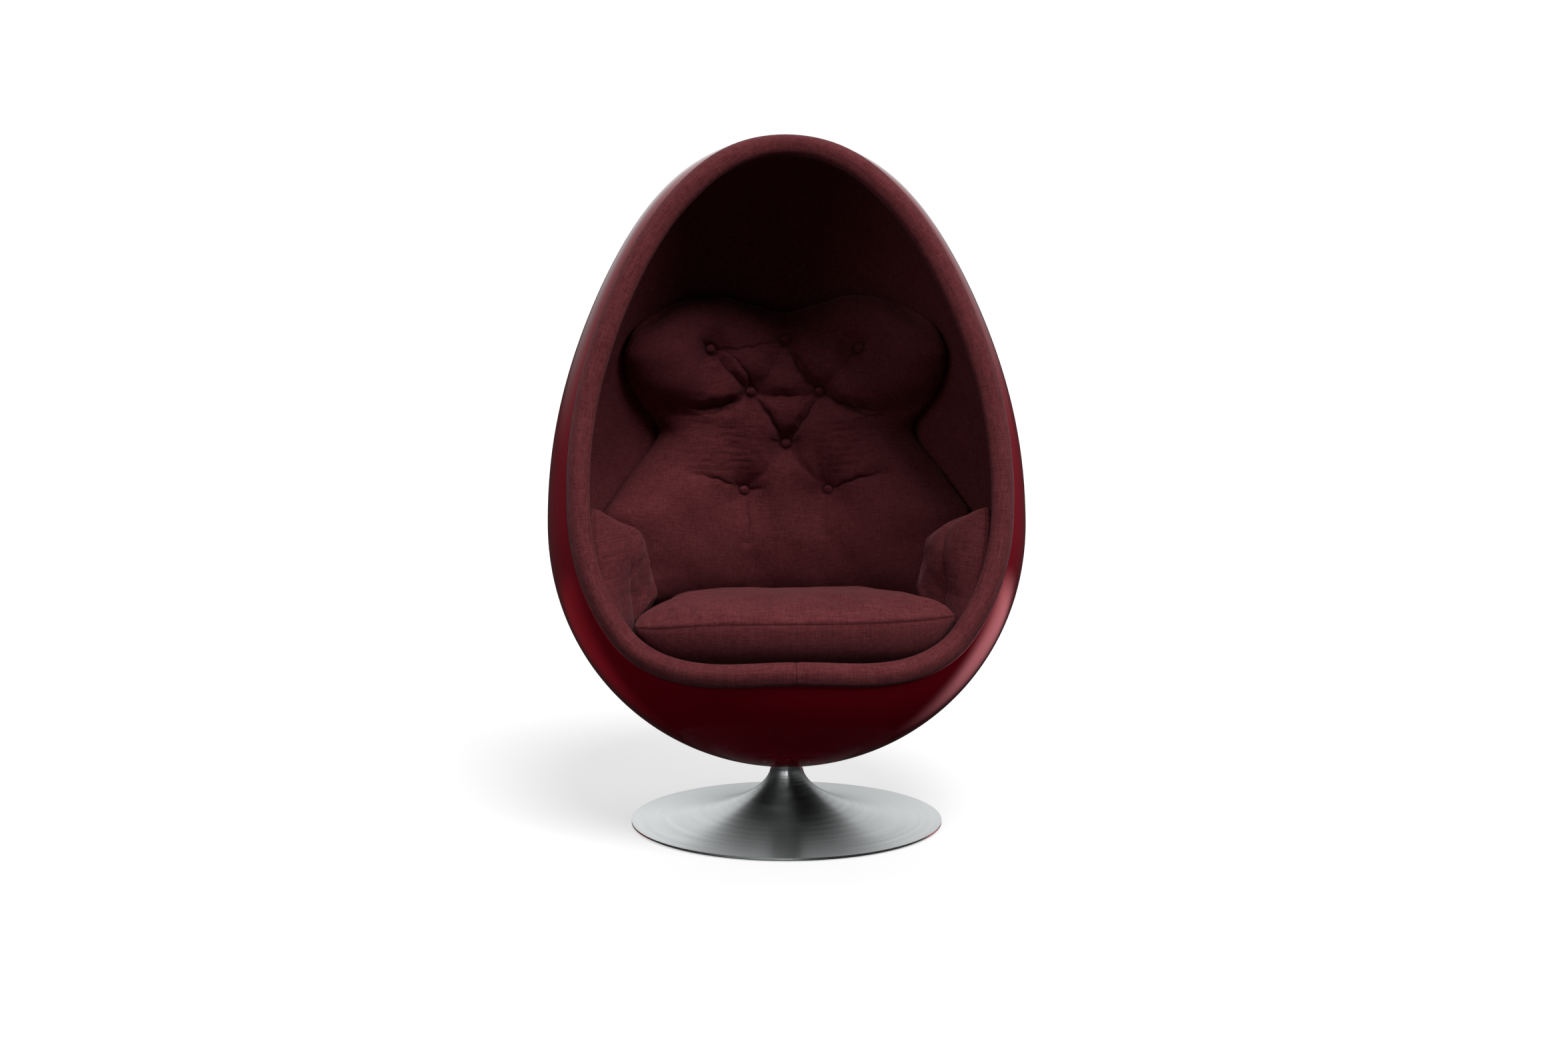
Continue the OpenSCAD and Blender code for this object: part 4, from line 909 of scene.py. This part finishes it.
# Heights, lengths and random seeds of the broad lumps and the fine ones
SEAT_LUMPS = ((0.0014, 0.12, 21), (0.0004, 0.045, 22))
seat_outline = smooth_table([(-0.1, 0.9), (0, 0.96), (0.1, 1), (0.2, 0.85), (0.32, 0.35), (0.42, 0.05),
                             (0.6, 0), (0.8, -0.15), (1, -0.6), (1.1, -0.85)], 0.03)


def seat_surface(u, v, front):
    """The seat cushion's upper sheet (front) or its under sheet."""
    t = (v + 1) / 2
    corner = SEAT_CORNER_SHARE * SEAT_REACH * np.abs(u) ** 3 * (1 - t)
    y = -SEAT_REACH + (SEAT_REACH + SEAT_REAR) * t + corner + SEAT_BOW * (1 - u * u) * t * t
    x = u * (SEAT_WAIST + (SEAT_HALF_WIDTH - SEAT_WAIST) * seat_outline(t))
    seam_z = SEAT_SKIRT - SEAT_FALL * t
    if front:
        lumps = sum(height * ripple(x, y, wave, seed) for height, wave, seed in SEAT_LUMPS)
        z = SEAT_LOW + seam_z + (SEAT_CROWN + lumps) * crown(u, v, SEAT_TOP_FULLNESS)
    else:
        z = SEAT_LOW + seam_z * (1 - crown(u, v, SEAT_UNDER_FULLNESS))
    # The left front corner droops, as in the photograph
    droop = SEAT_DROOP * bell((u + 1) / SEAT_DROOP_WIDTH) * bell((v + 1) / SEAT_DROOP_LENGTH)
    z = z - droop * np.clip((z - SEAT_LOW) / SEAT_SKIRT, 0, 1)
    return np.stack([x + droop * SEAT_DROOP_IN_SHARE, y, z], -1)


seat_u, seat_v = np.meshgrid(spread(100 * FINE + 1, 0.5), spread(80 * FINE + 1, 0.5))
seat_plain, seat_under = seat_surface(seat_u, seat_v, True), seat_surface(seat_u, seat_v, False)
seat_top = simulated("seat_cover", seat_plain, seat_under, 0 * seat_u, slack=0.04, cap=0.004)
closed_pad("seat_pad", seat_top, seat_under, "seat_cushion", seat_plain, SEAT_WEAVES)

# Moulded foam under the seat cushion: a bowl of the shell's form under a flat top
TURNS, DOWNS = 96, 40
PLINTH_FLOOR, POLE_ANGLE = 0.001, 0.02
TOP_SHARES = (0.01, 0.04, 0.3, 0.7, 0.99)
plinth_top = SHELL_LOW + SEAT_BASE_RISE
start = np.array([0, 0, plinth_top])
a, b = np.meshgrid(np.arange(TURNS) * 2 * math.pi / TURNS, np.linspace(POLE_ANGLE, math.pi / 2, DOWNS))
bowl = on_egg(start, np.stack([np.sin(b) * np.sin(a), np.sin(b) * np.cos(a), -np.cos(b)], -1))
bowl = bowl - lean_back(egg_normal(to_egg(bowl))) * (WALL_DEPTH + BASE_GAP)
bowl[..., 2] = np.clip(bowl[..., 2], SHELL_LOW + PLINTH_FLOOR, plinth_top)
edge = bowl[-1]
tops = [edge + (start - edge) * t for t in TOP_SHARES]
plinth_points = np.concatenate([bowl, np.stack(tops)])
rows = len(plinth_points)
first_ring, last_ring = tuple(range(TURNS)), tuple(range((rows - 1) * TURNS, rows * TURNS))
# Real foam, with a near-black colour that is painted shade for the crevice round the seat cushion
foam = plain_material("foam_dark_as_painted_shade", (0.03, 0.024, 0.022), 0.9, 220, 0.0012)
plinth_faces = ring_faces(rows, TURNS, True) + [first_ring, last_ring[::-1]]
plinth = add_piece("foam_plinth", plinth_points, plinth_faces, foam, "foam", ["seat_base"])


# Covered buttons
DOME_FULLNESS = 2.4
# The cloth lies a hair below the solid's top
COVER_SHARE = 0.999


def dome(centre, inward, sideways):
    """A covered button's points, in rings from the edge of its low dome to the middle."""
    upward = np.cross(inward, sideways)
    turn = np.arange(BUTTON_FACETS) * 2 * math.pi / BUTTON_FACETS
    share = np.sin(np.linspace(0, 1, BUTTON_RINGS) * math.pi / 2)
    height = BUTTON_HEIGHT * (1 - share**DOME_FULLNESS) * COVER_SHARE
    way = np.cos(turn)[:, None] * sideways + np.sin(turn)[:, None] * upward
    return (centre + BUTTON_RADIUS * share[:, None, None] * way + height[:, None, None] * inward)[::-1]


def button_piece(name, frames, nodes):
    """One mesh of covered buttons, each from its centre and the way it faces."""
    points, faces, weaves = [], [], []
    for k, (centre, inward) in enumerate(frames):
        sideways = unit(np.cross(np.array([0, 0, 1.0]), inward))
        flat = dome(centre, inward, sideways).reshape(-1, 3)
        start = k * len(flat)
        faces += ring_faces(BUTTON_RINGS, BUTTON_FACETS, True, start)
        faces.append(tuple(range(start, start + BUTTON_FACETS)))
        points.append(flat)
        weaves.append(np.stack([(flat - centre) @ sideways, (flat - centre) @ np.cross(inward, sideways),
                                np.full(len(flat), BUTTON_WEAVE + BUTTON_WEAVE_STEP * k)], -1))
    points = np.concatenate(points)
    add_piece(name, points, faces, cloth, "cloth", nodes, weave=np.concatenate(weaves),
              seam=np.ones(len(points)))


def cad_swell(spot):
    """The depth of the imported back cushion's face at a button, over its own back."""
    u, radius = 0.0, egg_round(spot[1])
    for _ in range(ROUNDS):
        w = (spot[1] + BACK_START) / (BACK_LENGTH * back_top(abs(u)))
        half = np.arcsin(min(1, BACK_HALF_WIDTH * back_outline(w) / (radius - WALL_DEPTH - SEAM_DEPTH)))
        u = np.arcsin(spot[0] / (radius - BACK_DEPTH)) / half
    return SEAM_DEPTH + (BACK_THICKNESS - SEAM_DEPTH - TUFT_DEPTH) * crown(u, 2 * w - 1, BACK_FULLNESS)


back_frames = []
for spot in SPOTS:
    az = BACK_TURN + np.arcsin(spot[0] / (egg_round(spot[1]) - BACK_DEPTH))
    depth = WALL_DEPTH + BACK_GAP + cad_swell(spot) - POCKET_DEPTH
    back_frames.append((wall_at(az, spot[1], depth), -wall_normal(az, spot[1])))
button_piece("back_button_caps", back_frames, ["back_buttons"])
az, s = arm_angles(*ARM_BUTTON)
swell = SEAM_DEPTH + (ARM_THICKNESS - SEAM_DEPTH) * arm_fill(*ARM_BUTTON) - ARM_TUFT
centre, inward = wall_at(az, s, WALL_DEPTH + ARM_GAP + swell - POCKET_DEPTH), -wall_normal(az, s)
mirrors = np.array([(1, 1, 1), (-1, 1, 1)])
button_piece("arm_button_caps", [(centre * m, inward * m) for m in mirrors], ["arm_buttons"])


# Floor, world, lamps and camera
def floor_material():
    """White to the camera, dark to the light that bounces off it, and not seen in reflections."""
    n = material_nodes("studio_floor")
    tint = n.blend(n.noise(n.place(), 2.0), (0.05, 0.05, 0.05, 1), (0.07, 0.07, 0.07, 1))
    glow = n.add("Emission", {"Color": (1, 1, 1, 1), "Strength": 0.56})
    shadowed = n.add("BsdfDiffuse", {"Color": (0.48, 0.48, 0.48, 1)})
    seen = n.add("AddShader", {0: glow.outputs[0], 1: shadowed.outputs[0]})
    rays = n.add("LightPath").outputs
    dark = n.add("BsdfDiffuse", {"Color": tint})
    bounced = n.mix_shader(rays["Is Glossy Ray"], dark, n.add("BsdfTransparent"))
    return n.finish(n.mix_shader(rays["Is Camera Ray"], bounced, seen))


FLOOR_REACH, FLOOR_DROP = 30, 0.0006
floor_mesh = bpy.data.meshes.new("studio_floor")
floor_corners = ((-1, -1), (1, -1), (1, 1), (-1, 1))
floor_mesh.from_pydata([(x * FLOOR_REACH, y * FLOOR_REACH, -FLOOR_DROP) for x, y in floor_corners], [],
                       [(0, 1, 2, 3)])
floor_mesh.materials.append(floor_material())
floor = bpy.data.objects.new("studio_floor", floor_mesh)
scene.collection.objects.link(floor)


def studio_world():
    """White to the camera, with pale walls behind for soft light.

    Reflections find a pale wall behind, dimmer ones at the sides, a dim floor that the red chair lights
    low behind it on both sides, and a dark room in front with a tall narrow light and a panel.
    """
    n = Nodes(bpy.data.worlds.new("studio"), "OutputWorld")
    across, back, up = n.add("SeparateXYZ", {0: n.add("TexCoord").outputs["Generated"]}).outputs
    leftward, forward = n.product(across, -1.0), n.product(back, -1.0)
    wall_rise = n.math("SUBTRACT", n.ramp(up, -0.03, 0.15), n.ramp(up, 0.45, 0.75))
    wall = n.product(n.ramp(back, 0.0, 0.8, 0.0, 0.95), n.bell(across, 0.0, 0.36), wall_rise)
    side_rise = n.ramp(up, -0.1, 0.35)
    right = n.product(n.ramp(across, 0.2, 0.9, 0.0, 0.2), side_rise)
    left = n.product(n.ramp(leftward, 0.2, 0.9, 0.0, 0.03), side_rise)
    strips = n.mixture(((n.bell(across, -0.04, 0.06), 6.0), (n.bell(across, -0.35, 0.3), 1.6)))
    front = n.product(strips, n.ramp(forward, 0.0, 0.3), n.ramp(up, 0.0, 0.2))
    overhead = n.product(n.ramp(up, 0.25, 0.6, 0.0, 0.22), n.ramp(leftward, -0.35, 0.2))
    dim_floor = n.ramp(up, -0.7, 0.0, 0.0, 0.025)
    mirrored = n.add("Background", {"Color": (0.965, 0.99, 1, 1),
                                    "Strength": n.total(wall, overhead, right, left, front, dim_floor)})
    below = n.math("SUBTRACT", n.ramp(up, -0.68, -0.44), n.ramp(up, -0.3, -0.2))
    below = n.product(n.ramp(back, 0.5, 0.7), below)
    for way, near, far, strength, colour in ((across, 0.25, 0.6, 1.35, (1, 0.33, 0.37, 1)),
                                             (leftward, 0.2, 0.5, 0.27, (1, 0.03, 0.06, 1))):
        lit_floor = n.add("Background", {"Color": colour,
                                         "Strength": n.product(n.ramp(way, near, far, 0.0, strength), below)})
        mirrored = n.add("AddShader", {0: mirrored.outputs[0], 1: lit_floor.outputs[0]})
    ambient = n.add("Background", {"Color": (1, 1, 1, 1),
                                   "Strength": n.total(n.ramp(back, -0.15, 0.6, 0.0, 1.1), 0.008)})
    seen = n.add("Background", {"Color": (1, 1, 1, 1), "Strength": 1.05})
    rays = n.add("LightPath").outputs
    return n.finish(n.mix_shader(rays["Is Camera Ray"],
                                 n.mix_shader(rays["Is Glossy Ray"], ambient, mirrored), seen))


scene.world = studio_world()


def aimed(name, data, place, target):
    """An object at a place, turned to face a target."""
    thing = bpy.data.objects.new(name, data)
    thing.location = place
    thing.rotation_euler = (Vector(target) - Vector(place)).to_track_quat("-Z", "Y").to_euler()
    scene.collection.objects.link(thing)
    return thing


# Each sun's place, strength and angle in degrees. Reflections show the world's soft walls alone
LAMPS = (("key", (2.7, -1.9, 2.0), 0.6, 24), ("front", (0.75, -2.2, 3.4), 2.3, 27),
         ("fill", (-2.5, -2.6, 1.6), 0.35, 35))
for name, place, energy, width in LAMPS:
    sun = bpy.data.lights.new(name, "SUN")
    sun.energy, sun.angle = energy, math.radians(width)
    aimed(name, sun, place, (0, 0, 0)).visible_glossy = False

CAMERA_PLACE, CAMERA_TARGET = (-0.1884, -4.4961, 1.1504), (-0.005, 0, 0.5766)
lens = bpy.data.cameras.new("camera")
lens.lens, lens.sensor_width = 55.18, 36
scene.camera = aimed("camera", lens, CAMERA_PLACE, CAMERA_TARGET)
scene.view_settings.view_transform = "Standard"
